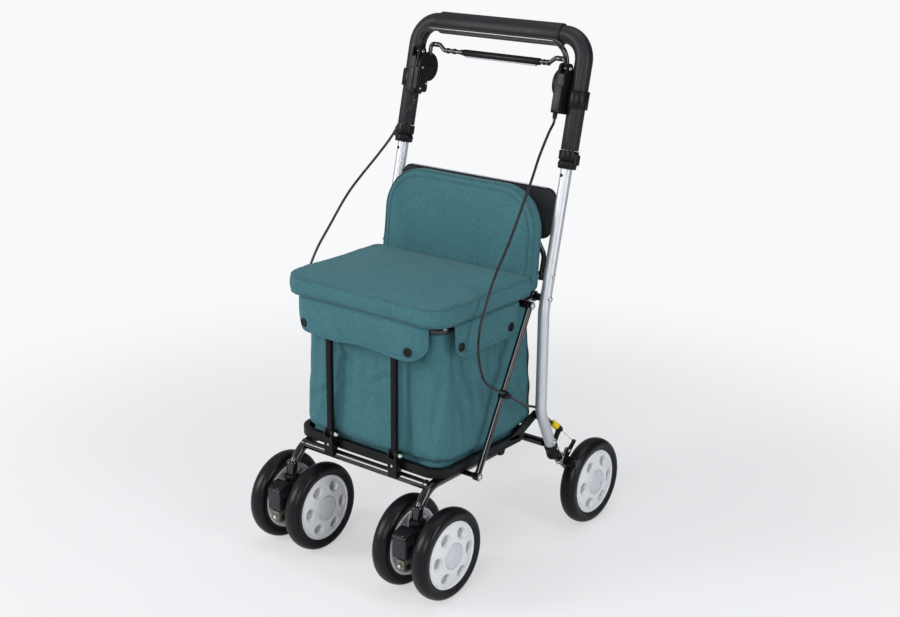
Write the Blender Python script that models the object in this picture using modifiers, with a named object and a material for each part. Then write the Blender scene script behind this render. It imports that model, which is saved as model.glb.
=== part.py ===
"""A folding shopping rollator: walking frame, seat, backrest and shopping bag on six wheels.

Metres, +Z up. The user walks behind it at +Y and faces -Y, so +X is the user's left.
The origin is on the floor, midway between the front and the rear axles.
"""
import math

import bmesh
import bpy
from mathutils import Matrix, Vector

# Clearance between pieces that touch, and between a pin and its hole
GAP = 0.0003

# How far an eye stands proud of the tube it is on
EYE_PROUD = 0.0003

# Sides of the round shapes
WHEEL_STEPS = 18
TUBE_RESOLUTION = 3
GRIP_RESOLUTION = 4
THIN_RESOLUTION = 2
ROD_SIDES = 10
PIN_SIDES = 8

# Wheels
WHEELBASE = 0.430
WHEEL_RADIUS = 0.0875
TYRE_WIDTH = 0.034
TYRE_BEAD_WIDTH = 0.031
TREAD_WIDTH = 0.007
TYRE_SHOULDER = 0.0095
TYRE_SHOULDER_DROP = 0.0022
TYRE_WALL_DROP = 0.010
HUB_RADIUS = 0.0655
HUB_RIM = 0.0060
HUB_RIM_EDGE = 0.0125
HUB_FACE = 0.0130
HUB_DOME = 0.0178
HUB_CAP = 0.0195
HUB_FACE_THICKNESS = 0.0130
HUB_LIP = 0.0018
HUB_CAP_RADIUS = 0.0244
HUB_BOSS_RADIUS = 0.016
AXLE_RADIUS = 0.005
AXLE_DEPTH = 0.027
RECESS_COUNT = 6
RECESS_SIDES = 6
RECESS_RING = 0.0435
RECESS_RADIAL = 0.014
RECESS_TANGENTIAL = 0.020
RECESS_DEPTH = 0.008

# Half the bag tray's width: what stands beside and above the tray takes its place across from it
TRAY_HALF = 0.183

# Uprights: bent tubes, given by their bends in the YZ plane
UPRIGHT_X = TRAY_HALF + 0.017
UPRIGHT_RADIUS = 0.011
UPRIGHT_FOOT = (0.118, 0.186)
LOW_BEND = (0.0803, 0.270)
SEAT_BEND = (0.0827, 0.475)
UPRIGHT_BEND_RADIUS = 0.055
UPRIGHT_TOP = 0.284
LEAN = math.radians(13.64)

# Handle, in the leaning frame of the uprights: X, depth rearward, distance up from the seat bend
HANDLE_RADIUS = 0.0088
HANDLE_FOOT = 0.130
HANDLE_SOCKET = 0.105
GRIP_HEIGHT = 0.5156
GRIP_BEND_RADIUS = 0.048
GRIP_LEG_RADIUS = 0.017
GRIP_CENTRE_RADIUS = 0.0195
GRIP_CENTRE_HALF = UPRIGHT_X - 0.054
COLLAR_RADIUS = 0.0165
COLLAR_STEPS = 14
COLLAR_NECK_RADIUS = 0.0152
COLLAR_HEIGHT = 0.034
COLLAR_CENTRE = 0.287
COLLAR_TAB_REACH = 0.0045
COLLAR_TAB_WIDTH = 0.013
COLLAR_TAB_HEIGHT = 0.022

# Brake housing, brake bar and parking bar, in the same leaning frame
HOUSING_INNER_X = UPRIGHT_X - 0.0337
HOUSING_OUTER_X = UPRIGHT_X - 0.0132
HOUSING_FRONT = -0.034
HOUSING_BACK = -0.006
HOUSING_FOOT = GRIP_HEIGHT - 0.1469
HOUSING_CLAMP = (GRIP_HEIGHT - 0.1336, GRIP_HEIGHT - 0.0996)
HOUSING_CLAMP_WALL = 0.0035
BRAKE_PIVOT = (-0.020, GRIP_HEIGHT - 0.0632)
BRAKE_PIVOT_BOSS = 0.0098
BRAKE_BAR_RADIUS = 0.005
BRAKE_BAR_X = UPRIGHT_X - 0.022
BRAKE_BAR_TOP = (-0.033, GRIP_HEIGHT - 0.0166)
BRAKE_BAR_BEND_RADIUS = 0.028
BRAKE_SLOT_CLEARANCE = 0.0006
FERRULE_X = UPRIGHT_X - 0.030
FERRULE_DEPTH = -0.022
FERRULE_RADIUS = 0.0045
FERRULE_LENGTH = 0.0107
PARKING_PIVOT = (-0.004, GRIP_HEIGHT - 0.0911)
PARKING_DISC_RADIUS = 0.029
PARKING_DISC_THICKNESS = 0.0075
PARKING_HOLE = (0.013, GRIP_HEIGHT - 0.0896)
PARKING_HOLE_RADIUS = 0.003
PARKING_PEG_RADIUS = 0.005
PARKING_ROD_RADIUS = 0.004
PARKING_SLEEVE_RADIUS = 0.0072
PARKING_SLEEVE_HALF = UPRIGHT_X - 0.109
PARKING_HOOK_HEIGHT = GRIP_HEIGHT - 0.0456
PARKING_BEND_RADIUS = 0.010
PARKING_SLEEVE_HEIGHT = GRIP_HEIGHT - 0.0556

# Seat frame, its pivot on the uprights and the lid on it
SEAT_TUBE_RADIUS = 0.008
SEAT_TUBE_X = UPRIGHT_X - 0.032
SEAT_Z = 0.498
SEAT_BEND_RADIUS = 0.040
SEAT_EYE_RADIUS = 0.0105
PIVOT_PIN_RADIUS = 0.004
PIVOT_SPACER_RADIUS = 0.007
STRUT_PIN_RADIUS = 0.0045
LID_TUBE_RADIUS = 0.006
LID_TUBE_Y = 0.036
BOARD_HALF = SEAT_TUBE_X - 0.003
BOARD_FRONT = -0.190
BOARD_REAR = 0.028
BOARD_THICKNESS = 0.004
BOARD_CORNER = 0.030
HOOK_X = 0.100
HOOK_WIDTH = 0.024
HOOK_WALL = 0.0032

# Seat cushion and backrest pad
CUSHION_HALF = UPRIGHT_X - 0.022
CUSHION_FRONT = -0.209
CUSHION_REAR = 0.050
CUSHION_EDGE = 0.035
CUSHION_CROWN = 0.011
CUSHION_FRONT_CORNER = 0.048
CUSHION_REAR_CORNER = 0.016
CUSHION_PULL = 0.003
FLAP_THICKNESS = 0.003
FLAP_TOP_OVERLAP = 0.010
FRONT_FLAP_Y = -0.2225
FRONT_FLAP_HALF = CUSHION_HALF - 0.020
FRONT_FLAP_HEM = 0.447
SIDE_FLAP_X = CUSHION_HALF + 0.006
SIDE_FLAP_FRONT = -0.176
SIDE_FLAP_REAR = 0.016
SIDE_FLAP_HEM = 0.445
SIDE_FLAP_TAPER = 0.018
FLAP_CORNER = 0.020
PAD_HALF = UPRIGHT_X - 0.014
PAD_BOTTOM = 0.512
PAD_TOP = 0.712
PAD_FRONT_AT_BOTTOM = 0.0590
PAD_THICKNESS = 0.022
PAD_CROWN = 0.006
PAD_TOP_CORNER = 0.088
PAD_BOTTOM_CORNER = 0.014
PAD_PULL = 0.002
PAD_LEAN = math.radians(6.56)

# Backrest frame behind the pad, and the stiff panel between the uprights
BACK_TUBE_RADIUS = 0.005
BACK_TUBE_X = UPRIGHT_X - 0.0168
BACK_FOOT = (0.0935, 0.530)
BACK_KNEE = (0.1045, 0.576)
BACK_NARROW_X = BACK_TUBE_X - 0.0232
BACK_NARROW_Z = 0.622
BACK_TOP_Z = 0.690
BACK_BEND_RADIUS = 0.030
BACK_BOLT_Z = 0.542
BACK_BOLT_RADIUS = 0.0035
PANEL_BOTTOM = 0.606
PANEL_TOP = 0.704
PANEL_THICKNESS = 0.004
PANEL_CORNER = 0.012

# Fold linkage: pivots in the YZ plane
BAR_PIVOT = (-0.2125, 0.248)
TRAY_PIVOT_Z = 0.2575
CHASSIS_PIVOT = (-0.002, 0.207)
STRUT_TOP = (0.038, SEAT_Z - 0.001)
STRUT_FOOT_Y = -0.119

# Bag tray
TRAY_FRONT = -0.205
TRAY_REAR = 0.075
TRAY_BOTTOM = 0.217
TRAY_TOP = 0.236
TRAY_BAND = 0.012
TRAY_CORNER = 0.040
TRAY_FLOOR_BOTTOM = 0.2195
TRAY_FLOOR_THICKNESS = 0.004
TRAY_LUG_THICKNESS = 0.0045
TRAY_LUG_RADIUS = 0.009
TRAY_LUG_BASE = 0.028
CHASSIS_LUG_RADIUS = 0.008
CHASSIS_LUG_THICKNESS = 0.003
CHASSIS_LUG_BASE = 0.012

# Bag
BAG_HALF = TRAY_HALF - 0.015
BAG_FRONT = -0.190
BAG_REAR = 0.098
BAG_FOOT_REAR = 0.062
BAG_BULGE_HEIGHT = 0.026
BAG_CORNER = 0.035
BAG_WALL = 0.003

# Front bars and their brackets
BAR_X = 0.080
BAR_WIDTH = 0.012
BAR_DEPTH = 0.009
BAR_PIN_RADIUS = 0.0025
SEAT_LUG_OFFSET = (0.0135, 0.0095)
SEAT_LUG_RADIUS = 0.006
SEAT_LUG_THICKNESS = 0.003
BRACKET_WIDTH = 0.021
BRACKET_FRONT = -0.2203
BRACKET_BOTTOM = 0.203
BRACKET_EAR_RADIUS = 0.0095
BRACKET_SADDLE_CLEARANCE = 0.0015

# Chassis: the welded tube frame that carries the casters
CHASSIS_TUBE_RADIUS = 0.009
CHASSIS_Z = 0.205
CHASSIS_FRONT = -0.207
CHASSIS_BEND_RADIUS = 0.022
CHASSIS_EYE_RADIUS = 0.0095
CASTER_X = TRAY_HALF - 0.025
CASTER_TRAIL = 0.0255
STEM_RADIUS = 0.011
STEM_BOTTOM = 0.1515
STEM_TOP = 0.178
STEM_PIN_RADIUS = 0.005
STEM_PIN_BOTTOM = 0.121
CHASSIS_PEG_RADIUS = 0.005

# Casters, in the YZ plane measured from the swivel axis
CASTER_WHEEL_OFFSET = 0.0466
HOUSING_RADIUS = 0.016
HOUSING_BOTTOM = 0.118
CASTER_BOX = ((-0.053, 0.090), (-0.027, 0.1435))
CASTER_BOX_HALF = 0.0155
CASTER_WEB_HALF = 0.010
CARRIER_HALF = 0.010
CARRIER_SPACER_RADIUS = 0.009

# Side struts and cable clips
STRUT_X = UPRIGHT_X
STRUT_RADIUS = 0.006
STRUT_EYE_RADIUS = 0.008
CLIP_Z = 0.345
CLIP_LENGTH = 0.016
CLIP_WIDTH = 0.017
CLIP_INNER_X = STRUT_X - 0.0078
CLIP_OUTER_X = STRUT_X + 0.0160

# Rear legs, crossbar, axles and brakes
SLEEVE_RADIUS = 0.0135
SLEEVE_ABOVE = 0.024
SLEEVE_BELOW = 0.018
LEG_RADIUS = 0.0095
LEG_EYE_RADIUS = 0.0145
REAR_WHEEL_X = UPRIGHT_X + 0.029
CROSSBAR_RADIUS = 0.008
CROSSBAR_POINT = (0.112, 0.192)
AXLE_HEAD_RADIUS = 0.0085
AXLE_HEAD_LENGTH = 0.005
BRAKE_RING_RADIUS = 0.0110
BRAKE_RING_LENGTH = 0.013
BRAKE_RING_AT = 0.040
BRAKE_ARM_PIVOT = (0.160, 0.1655)
BRAKE_PIN_RADIUS = 0.003
BRAKE_TAB_RADIUS = 0.0065
BRAKE_TAB_X = (UPRIGHT_X + 0.0070, UPRIGHT_X + 0.0111)
BRAKE_ARM_THICKNESS = 0.005
BRAKE_LEVER_TIP = (0.178, 0.180)
SHOE_GAP = 0.0025
SHOE_THICKNESS = 0.005
SHOE_LENGTH = 0.020
SHOE_ANGLE = math.radians(137.7)
SHOE_INSET = 0.001
ADJUSTER_POINT = (UPRIGHT_X - 0.010, 0.1445, 0.2195)
ADJUSTER_DIRECTION = (0.092, 0.749, -0.657)
ADJUSTER_RADIUS = 0.0048
ADJUSTER_LENGTH = 0.014
STOP_RADIUS = 0.0060
STOP_LENGTH = 0.016
STOP_STALK_RADIUS = 0.0035

# Brake cables: the route's own points, from the brake housing down to the adjuster, X outward from the uprights
CABLE_RADIUS = 0.0025
CABLE_STEP = 0.015
CABLE_CLIP_X = STRUT_X + 0.0106
CABLE_CLIP_DIRECTION = (0.0, 0.84, -0.54)
CABLE_LEFT_UPPER = [
    (-0.0265, 0.1240, 0.8060),
    (-0.0215, 0.0880, 0.7680),
    (-0.0150, 0.0510, 0.7220),
    (-0.0050, -0.0210, 0.6350),
    (0.0050, -0.0790, 0.5810),
    (0.0120, -0.1200, 0.5235),
    (0.0150, -0.1370, 0.4835),
]
CABLE_RIGHT_UPPER = [
    (-0.0265, 0.1210, 0.8000),
    (-0.0215, 0.0850, 0.7600),
    (-0.0150, 0.0540, 0.7300),
    (-0.0050, -0.0210, 0.6680),
    (0.0050, -0.0700, 0.6060),
    (0.0120, -0.1070, 0.5550),
    (0.0150, -0.1330, 0.4980),
]
CABLE_MIDDLE = [
    (0.0150, -0.1360, 0.4420),
    (0.0140, -0.1170, 0.3955),
    (0.0125, -0.0790, 0.3660),
]
CABLE_LOWER = [
    (0.0020, 0.0250, 0.3020),
    (-0.0155, 0.0857, 0.2735),
    (-0.0150, 0.1160, 0.2470),
]

FRONT_AXLE_Y = -WHEELBASE / 2
REAR_AXLE_Y = WHEELBASE / 2
SWIVEL_Y = FRONT_AXLE_Y - CASTER_TRAIL
SIDES = (("left", 1), ("right", -1))

FINISHES = {
    "rubber": ((0.010, 0.010, 0.011), 0.42, 0.0),
    "hub": ((0.52, 0.53, 0.55), 0.45, 0.0),
    "aluminium": ((0.66, 0.67, 0.70), 0.32, 1.0),
    "foam": ((0.020, 0.020, 0.022), 0.85, 0.0),
    "plastic": ((0.016, 0.016, 0.018), 0.48, 0.0),
    "black_steel": ((0.012, 0.012, 0.014), 0.28, 0.0),
    "bare_steel": ((0.30, 0.26, 0.22), 0.38, 1.0),
    "zinc": ((0.62, 0.62, 0.60), 0.35, 1.0),
    "fabric": ((0.050, 0.165, 0.180), 0.85, 0.0),
    "panel": ((0.018, 0.018, 0.022), 0.62, 0.0),
    "cable": ((0.010, 0.010, 0.010), 0.35, 0.0),
    "yellow": ((0.80, 0.55, 0.03), 0.40, 0.0),
}

for old in list(bpy.data.objects):
    bpy.data.objects.remove(old, do_unlink=True)

PARTS = bpy.data.collections.new("shopping_rollator")
TOOLS = bpy.data.collections.new("cutters_and_joins")
bpy.context.scene.collection.children.link(PARTS)
bpy.context.scene.collection.children.link(TOOLS)

# Where each pivot empty lies in its own base frame
BASE = {None: Vector((0, 0, 0))}


def pivot(name, position, parent=None, rotation=(0, 0, 0)):
    """Empty on a joint's axis. Pieces under it are still given in the base frame's coordinates."""
    empty = bpy.data.objects.new(name, None)
    empty.empty_display_size = 0.02
    PARTS.objects.link(empty)
    empty.parent = parent
    empty.location = Vector(position) - BASE[parent]
    empty.rotation_euler = rotation
    BASE[empty] = Vector(position)
    return empty


def place(name, data, parent=None, location=(0, 0, 0), rotation=(0, 0, 0)):
    """Object at a place in its base frame, moving with its pivot."""
    obj = bpy.data.objects.new(name, data)
    PARTS.objects.link(obj)
    obj.parent = parent
    obj.location = Vector(location) - BASE[parent]
    obj.rotation_euler = rotation
    return obj


def finish(obj, kind):
    """Give the object a material of its own and smooth round faces."""
    colour, roughness, metallic = FINISHES[kind]
    material = bpy.data.materials.new(f"{obj.name}_{kind}")
    material.use_nodes = True
    material.diffuse_color = (*colour, 1.0)
    shader = material.node_tree.nodes["Principled BSDF"]
    shader.inputs["Base Color"].default_value = (*colour, 1.0)
    shader.inputs["Roughness"].default_value = roughness
    shader.inputs["Metallic"].default_value = metallic
    if not obj.data.materials:
        obj.data.materials.append(None)
    slot = obj.material_slots[0]
    slot.link = "OBJECT"
    slot.material = material
    if obj.type == "MESH":
        obj.data.shade_smooth()
        obj.data.set_sharp_from_angle(angle=math.radians(35))
    return obj


def to_mesh(name, bm):
    mesh = bpy.data.meshes.new(name)
    bm.to_mesh(mesh)
    bm.free()
    return mesh


def as_mesh(obj):
    """Turn an object into a welded mesh of its evaluated shape, in the same place."""
    bpy.context.view_layer.update()
    evaluated = obj.evaluated_get(bpy.context.evaluated_depsgraph_get())
    mesh = bpy.data.meshes.new_from_object(evaluated)
    bm = bmesh.new()
    bm.from_mesh(mesh)
    bmesh.ops.remove_doubles(bm, verts=bm.verts, dist=0.00001)
    bmesh.ops.recalc_face_normals(bm, faces=bm.faces)
    bm.to_mesh(mesh)
    bm.free()
    mesh.materials.clear()
    name = obj.name
    parent = obj.parent
    location = obj.location.copy()
    rotation = obj.rotation_euler.copy()
    bpy.data.objects.remove(obj, do_unlink=True)
    solid = bpy.data.objects.new(name, mesh)
    PARTS.objects.link(solid)
    solid.parent = parent
    solid.location = location
    solid.rotation_euler = rotation
    return solid


def box(name, low, high, parent=None, corner=0.0, corner_axis=2, segments=3):
    """Box between two corners, its edges along one axis rounded where a corner radius is given."""
    low = Vector(low)
    high = Vector(high)
    bm = bmesh.new()
    bmesh.ops.create_cube(bm, size=1.0)
    bmesh.ops.scale(bm, vec=high - low, verts=bm.verts)
    bmesh.ops.translate(bm, vec=(low + high) / 2, verts=bm.verts)
    if corner > 0:
        edges = []
        for edge in bm.edges:
            run = edge.verts[0].co - edge.verts[1].co
            if abs(run[corner_axis]) > 0.99 * run.length:
                edges.append(edge)
        bmesh.ops.bevel(
            bm, geom=edges, offset=corner, segments=segments, affect="EDGES", profile=0.5, clamp_overlap=True
        )
    return place(name, to_mesh(name, bm), parent)


def rod(name, start, end, radius, parent=None, sides=ROD_SIDES, end_radius=None):
    """Cylinder or cone between two points."""
    start = Vector(start)
    end = Vector(end)
    axis = end - start
    bm = bmesh.new()
    bmesh.ops.create_cone(
        bm,
        cap_ends=True,
        segments=sides,
        radius1=radius,
        radius2=radius if end_radius is None else end_radius,
        depth=axis.length,
    )
    turn = Vector((0, 0, 1)).rotation_difference(axis).to_matrix().to_4x4()
    bmesh.ops.transform(bm, matrix=Matrix.Translation((start + end) / 2) @ turn, verts=bm.verts)
    return place(name, to_mesh(name, bm), parent)


def bored(radius, sides=ROD_SIDES):
    """Radius of a many-sided hole whose flats clear a round piece of this radius."""
    return (radius + GAP) / math.cos(math.pi / sides)


def filleted(points, radius, steps=4):
    """Path through the points with each inner corner replaced by an arc."""
    points = [Vector(p) for p in points]
    path = [points[0]]
    for index, corner in enumerate(points[1:-1], 1):
        back = points[index - 1] - corner
        ahead = points[index + 1] - corner
        room_back = back.length * (0.98 if index == 1 else 0.49)
        room_ahead = ahead.length * (0.98 if index == len(points) - 2 else 0.49)
        back.normalize()
        ahead.normalize()
        half_angle = back.angle(ahead) / 2
        run = min(radius / math.tan(half_angle), room_back, room_ahead)
        arc_radius = run * math.tan(half_angle)
        middle = corner + (back + ahead).normalized() * (arc_radius / math.sin(half_angle))
        first = corner + back * run - middle
        last = corner + ahead * run - middle
        for step in range(steps + 1):
            path.append(middle + first.slerp(last, step / steps).normalized() * arc_radius)
    path.append(points[-1])
    return path


def tube(name, points, radius, parent=None, resolution=TUBE_RESOLUTION):
    """Round tube or wire along the points: a curve with a bevel depth and filled caps."""
    curve = bpy.data.curves.new(name, "CURVE")
    curve.dimensions = "3D"
    curve.bevel_depth = radius
    curve.bevel_resolution = resolution
    curve.use_fill_caps = True
    spline = curve.splines.new("POLY")
    spline.points.add(len(points) - 1)
    for target, point in zip(spline.points, points):
        target.co = (*point, 1.0)
    return place(name, curve, parent)


def belt_outline(circles, steps=8):
    """Outline that a belt would take round some circles, each (y, z, radius)."""
    points = []
    for y, z, radius in circles:
        for step in range(steps):
            angle = 2 * math.pi * step / steps
            points.append((y + radius * math.cos(angle), z + radius * math.sin(angle)))
    points = sorted(set(points))

    def half_hull(ordered):
        chain = []
        for point in ordered:
            while len(chain) > 1:
                (ay, az), (by, bz) = chain[-2], chain[-1]
                if (by - ay) * (point[1] - az) - (bz - az) * (point[0] - ay) > 1e-10:
                    break
                chain.pop()
            chain.append(point)
        return chain[:-1]

    return half_hull(points) + half_hull(points[::-1])


def plate(name, outline, low_x, high_x, parent=None):
    """Flat plate across X, from an outline in the YZ plane."""
    curve = bpy.data.curves.new(name, "CURVE")
    curve.dimensions = "2D"
    curve.fill_mode = "BOTH"
    curve.extrude = abs(high_x - low_x) / 2
    spline = curve.splines.new("POLY")
    spline.use_cyclic_u = True
    spline.points.add(len(outline) - 1)
    for target, (y, z) in zip(spline.points, outline):
        target.co = (y, z, 0.0, 1.0)
    upright = (math.pi / 2, 0, math.pi / 2)
    return as_mesh(place(name, curve, parent, ((low_x + high_x) / 2, 0, 0), upright))


def turned(name, profile, steps, closed=False, parent=None, location=(0, 0, 0), rotation=(0, 0, 0)):
    """Turned shape: a profile of (radius, height) screwed round local Z."""
    bm = bmesh.new()
    verts = [bm.verts.new((radius, 0, height)) for radius, height in profile]
    for first, second in zip(verts, verts[1:]):
        bm.edges.new((first, second))
    if closed:
        bm.edges.new((verts[-1], verts[0]))
    obj = place(name, to_mesh(name, bm), parent, location, rotation)
    screw = obj.modifiers.new("turn", "SCREW")
    screw.axis = "Z"
    screw.angle = 2 * math.pi
    screw.steps = steps
    screw.render_steps = steps
    screw.use_merge_vertices = True
    screw.merge_threshold = 0.00001
    return obj


def boolean(target, tools, operation):
    for tool in tools:
        for collection in list(tool.users_collection):
            collection.objects.unlink(tool)
        TOOLS.objects.link(tool)
        tool.hide_render = True
        tool.display_type = "WIRE"
        modifier = target.modifiers.new(f"{operation.lower()}_{tool.name}", "BOOLEAN")
        modifier.operation = operation
        modifier.solver = "EXACT"
        modifier.object = tool
    return target


def join(target, *tools):
    return boolean(target, tools, "UNION")


def cut(target, *tools):
    return boolean(target, tools, "DIFFERENCE")


def baked(obj):
    """Mesh of the finished object, for copies that share it. The object itself goes."""
    solid = as_mesh(obj)
    mesh = solid.data
    bpy.data.objects.remove(solid, do_unlink=True)
    return mesh


def upright_y(z):
    """The uprights' centre line: depth at a height."""
    if z > SEAT_BEND[1]:
        return SEAT_BEND[0] + (z - SEAT_BEND[1]) * math.tan(LEAN)
    low, high = (UPRIGHT_FOOT, LOW_BEND) if z < LOW_BEND[1] else (LOW_BEND, SEAT_BEND)
    return low[0] + (z - low[1]) * (high[0] - low[0]) / (high[1] - low[1])


def leaning_to_world(x, depth, up):
    """Point of the leaning frame in world coordinates."""
    y = SEAT_BEND[0] + up * math.sin(LEAN) + depth * math.cos(LEAN)
    z = SEAT_BEND[1] + up * math.cos(LEAN) - depth * math.sin(LEAN)
    return Vector((x, y, z))


SEAT_PIVOT = (upright_y(SEAT_Z), SEAT_Z)
TRAY_PIVOT = (upright_y(TRAY_PIVOT_Z), TRAY_PIVOT_Z)
BAR_TOP = (BAR_PIVOT[0] + SEAT_PIVOT[0] - TRAY_PIVOT[0], BAR_PIVOT[1] + SEAT_PIVOT[1] - TRAY_PIVOT[1])
SEAT_FRONT = BAR_TOP[0] + SEAT_LUG_OFFSET[0]
STRUT_FOOT = (STRUT_FOOT_Y, CHASSIS_Z)
LID_PIVOT = (LID_TUBE_Y, SEAT_Z)
HUB_BORE_END = AXLE_DEPTH - TYRE_WIDTH / 2
TRAY_FLOOR_TOP = TRAY_FLOOR_BOTTOM + TRAY_FLOOR_THICKNESS
BOARD_BOTTOM = SEAT_Z + SEAT_TUBE_RADIUS + GAP
CUSHION_BOTTOM = BOARD_BOTTOM + BOARD_THICKNESS + GAP

# Pivots: one empty for each moving body
LEANING = pivot("handle_slide", (0, *SEAT_BEND), rotation=(-LEAN, 0, 0))
BASE[LEANING] = Vector((0, 0, 0))
UPRIGHT_FRAME = pivot("leaning_frame", (0, *SEAT_BEND), rotation=(-LEAN, 0, 0))
BASE[UPRIGHT_FRAME] = Vector((0, 0, 0))
BRAKE = pivot("brake_bar_pivot", (0, *BRAKE_PIVOT), LEANING)
PARKING = pivot("parking_bar_pivot", (0, *PARKING_PIVOT), LEANING)
SEAT = pivot("seat_pivot", (0, *SEAT_PIVOT))
LID = pivot("lid_pivot", (0, *LID_PIVOT), SEAT)
STRUTS = pivot("strut_pivot", (0, *STRUT_TOP), SEAT)
TRAY = pivot("tray_pivot", (0, *TRAY_PIVOT))
BARS = pivot("front_bar_pivot", (0, *BAR_PIVOT), TRAY)
CHASSIS = pivot("chassis_pivot", (0, *CHASSIS_PIVOT), TRAY)


def tyre_mesh():
    """Round-shouldered tyre, a closed ring section."""
    half = [
        (HUB_RADIUS + GAP, TYRE_BEAD_WIDTH / 2),
        (WHEEL_RADIUS - TYRE_WALL_DROP, TYRE_WIDTH / 2),
        (WHEEL_RADIUS - TYRE_SHOULDER_DROP, TYRE_SHOULDER),
        (WHEEL_RADIUS, TREAD_WIDTH / 2),
    ]
    profile = half + [(radius, -height) for radius, height in reversed(half)]
    return baked(turned("tyre_ring", profile, WHEEL_STEPS, closed=True))


def hub_mesh():
    """Moulded hub: domed and capped outer face with oval recesses, deep rim, boss with a blind bore."""
    face_back = HUB_FACE - HUB_FACE_THICKNESS
    rim_back = -TYRE_BEAD_WIDTH / 2
    boss_end = -TYRE_WIDTH / 2
    bore = bored(AXLE_RADIUS)
    profile = [
        (0, HUB_CAP),
        (HUB_CAP_RADIUS, HUB_CAP),
        (HUB_CAP_RADIUS + HUB_LIP, HUB_DOME),
        (HUB_RADIUS - HUB_RIM, HUB_FACE),
        (HUB_RADIUS, HUB_RIM_EDGE),
        (HUB_RADIUS, rim_back),
        (HUB_RADIUS - HUB_RIM, rim_back),
        (HUB_RADIUS - HUB_RIM, face_back),
        (HUB_BOSS_RADIUS, face_back),
        (HUB_BOSS_RADIUS, boss_end),
        (bore, boss_end),
        (bore, HUB_BORE_END),
        (0, HUB_BORE_END),
    ]
    hub = turned("hub_solid", profile, WHEEL_STEPS)
    bm = bmesh.new()
    for index in range(RECESS_COUNT):
        angle = 2 * math.pi * (index + 0.5) / RECESS_COUNT
        made = bmesh.ops.create_cone(bm, cap_ends=True, segments=RECESS_SIDES, radius1=0.5, radius2=0.5, depth=2.0)
        shape = Matrix.Diagonal((RECESS_RADIAL, RECESS_TANGENTIAL, RECESS_DEPTH, 1.0))
        move = Matrix.Translation((RECESS_RING, 0, HUB_FACE))
        turn = Matrix.Rotation(angle, 4, "Z")
        bmesh.ops.transform(bm, matrix=turn @ move @ shape, verts=made["verts"])
    recesses = place("hub_recesses", to_mesh("hub_recesses", bm))
    mesh = baked(cut(hub, recesses))
    bpy.data.objects.remove(recesses, do_unlink=True)
    return mesh


TYRE_MESH = tyre_mesh()
HUB_MESH = hub_mesh()


def wheel(prefix, suffix, centre, outward, parent):
    """Tyre and hub at the wheel's centre, the hub's face looking outward along X."""
    rotation = (0, outward * math.pi / 2, 0)
    axle = pivot(f"{prefix}_wheel_{suffix}_axis", centre, parent)
    finish(place(f"{prefix}_tyre_{suffix}", TYRE_MESH.copy(), axle, centre, rotation), "rubber")
    finish(place(f"{prefix}_hub_{suffix}", HUB_MESH.copy(), axle, centre, rotation), "hub")


def upright(name, side):
    x = side * UPRIGHT_X
    top = leaning_to_world(x, 0, UPRIGHT_TOP)
    bends = [(x, *UPRIGHT_FOOT), (x, *LOW_BEND), (x, *SEAT_BEND), top]
    post = as_mesh(tube(f"upright_{name}", filleted(bends, UPRIGHT_BEND_RADIUS), UPRIGHT_RADIUS))
    socket = rod(
        f"upright_{name}_socket",
        leaning_to_world(x, 0, HANDLE_SOCKET),
        leaning_to_world(x, 0, UPRIGHT_TOP + 0.01),
        bored(HANDLE_RADIUS),
    )
    inner = x - side * (UPRIGHT_RADIUS - 0.002)
    pins = []
    seat_face = SEAT_TUBE_X + SEAT_TUBE_RADIUS + EYE_PROUD
    hinges = (
        ("seat", SEAT_PIVOT, SEAT_TUBE_X, seat_face),
        ("tray", TRAY_PIVOT, TRAY_HALF - TRAY_LUG_THICKNESS, TRAY_HALF),
    )
    for label, point, reach, face in hinges:
        spacer_end = side * (face + GAP)
        pins.append(rod(f"{label}_spacer_{name}", (inner, *point), (spacer_end, *point), PIVOT_SPACER_RADIUS))
        pins.append(rod(f"{label}_pin_{name}", (inner, *point), (side * reach, *point), PIVOT_PIN_RADIUS))
    join(post, *pins)
    finish(cut(post, socket), "aluminium")


def collar(name, side):
    """Height clamp: seated on the upright's top, the handle tube slides through it."""
    half = COLLAR_HEIGHT / 2
    step = UPRIGHT_TOP - COLLAR_CENTRE + GAP
    wide = bored(UPRIGHT_RADIUS)
    narrow = bored(HANDLE_RADIUS)
    profile = [
        (narrow, half),
        (COLLAR_RADIUS, half),
        (COLLAR_RADIUS, -half * 0.4),
        (COLLAR_NECK_RADIUS, -half * 0.5),
        (COLLAR_NECK_RADIUS, -half),
        (wide, -half),
        (wide, step),
        (narrow, step),
    ]
    location = (side * UPRIGHT_X, 0, COLLAR_CENTRE)
    ring = turned(f"collar_{name}", profile, COLLAR_STEPS, closed=True, parent=UPRIGHT_FRAME, location=location)
    inner = side * (UPRIGHT_X + wide + 0.001)
    outer = side * (UPRIGHT_X + COLLAR_RADIUS + COLLAR_TAB_REACH)
    tab = box(
        f"collar_tab_{name}",
        (min(inner, outer), -COLLAR_TAB_WIDTH / 2, COLLAR_CENTRE - COLLAR_TAB_HEIGHT / 2),
        (max(inner, outer), COLLAR_TAB_WIDTH / 2, COLLAR_CENTRE + COLLAR_TAB_HEIGHT / 2),
        UPRIGHT_FRAME,
        corner=0.003,
        corner_axis=0,
        segments=2,
    )
    finish(join(ring, tab), "plastic")


def handle_path(low, high_x=UPRIGHT_X):
    """The handle's centre line: up one leg, across the grip and down the other."""
    points = [
        (-high_x, 0, low),
        (-high_x, 0, GRIP_HEIGHT),
        (high_x, 0, GRIP_HEIGHT),
        (high_x, 0, low),
    ]
    return filleted(points, GRIP_BEND_RADIUS)


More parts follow.
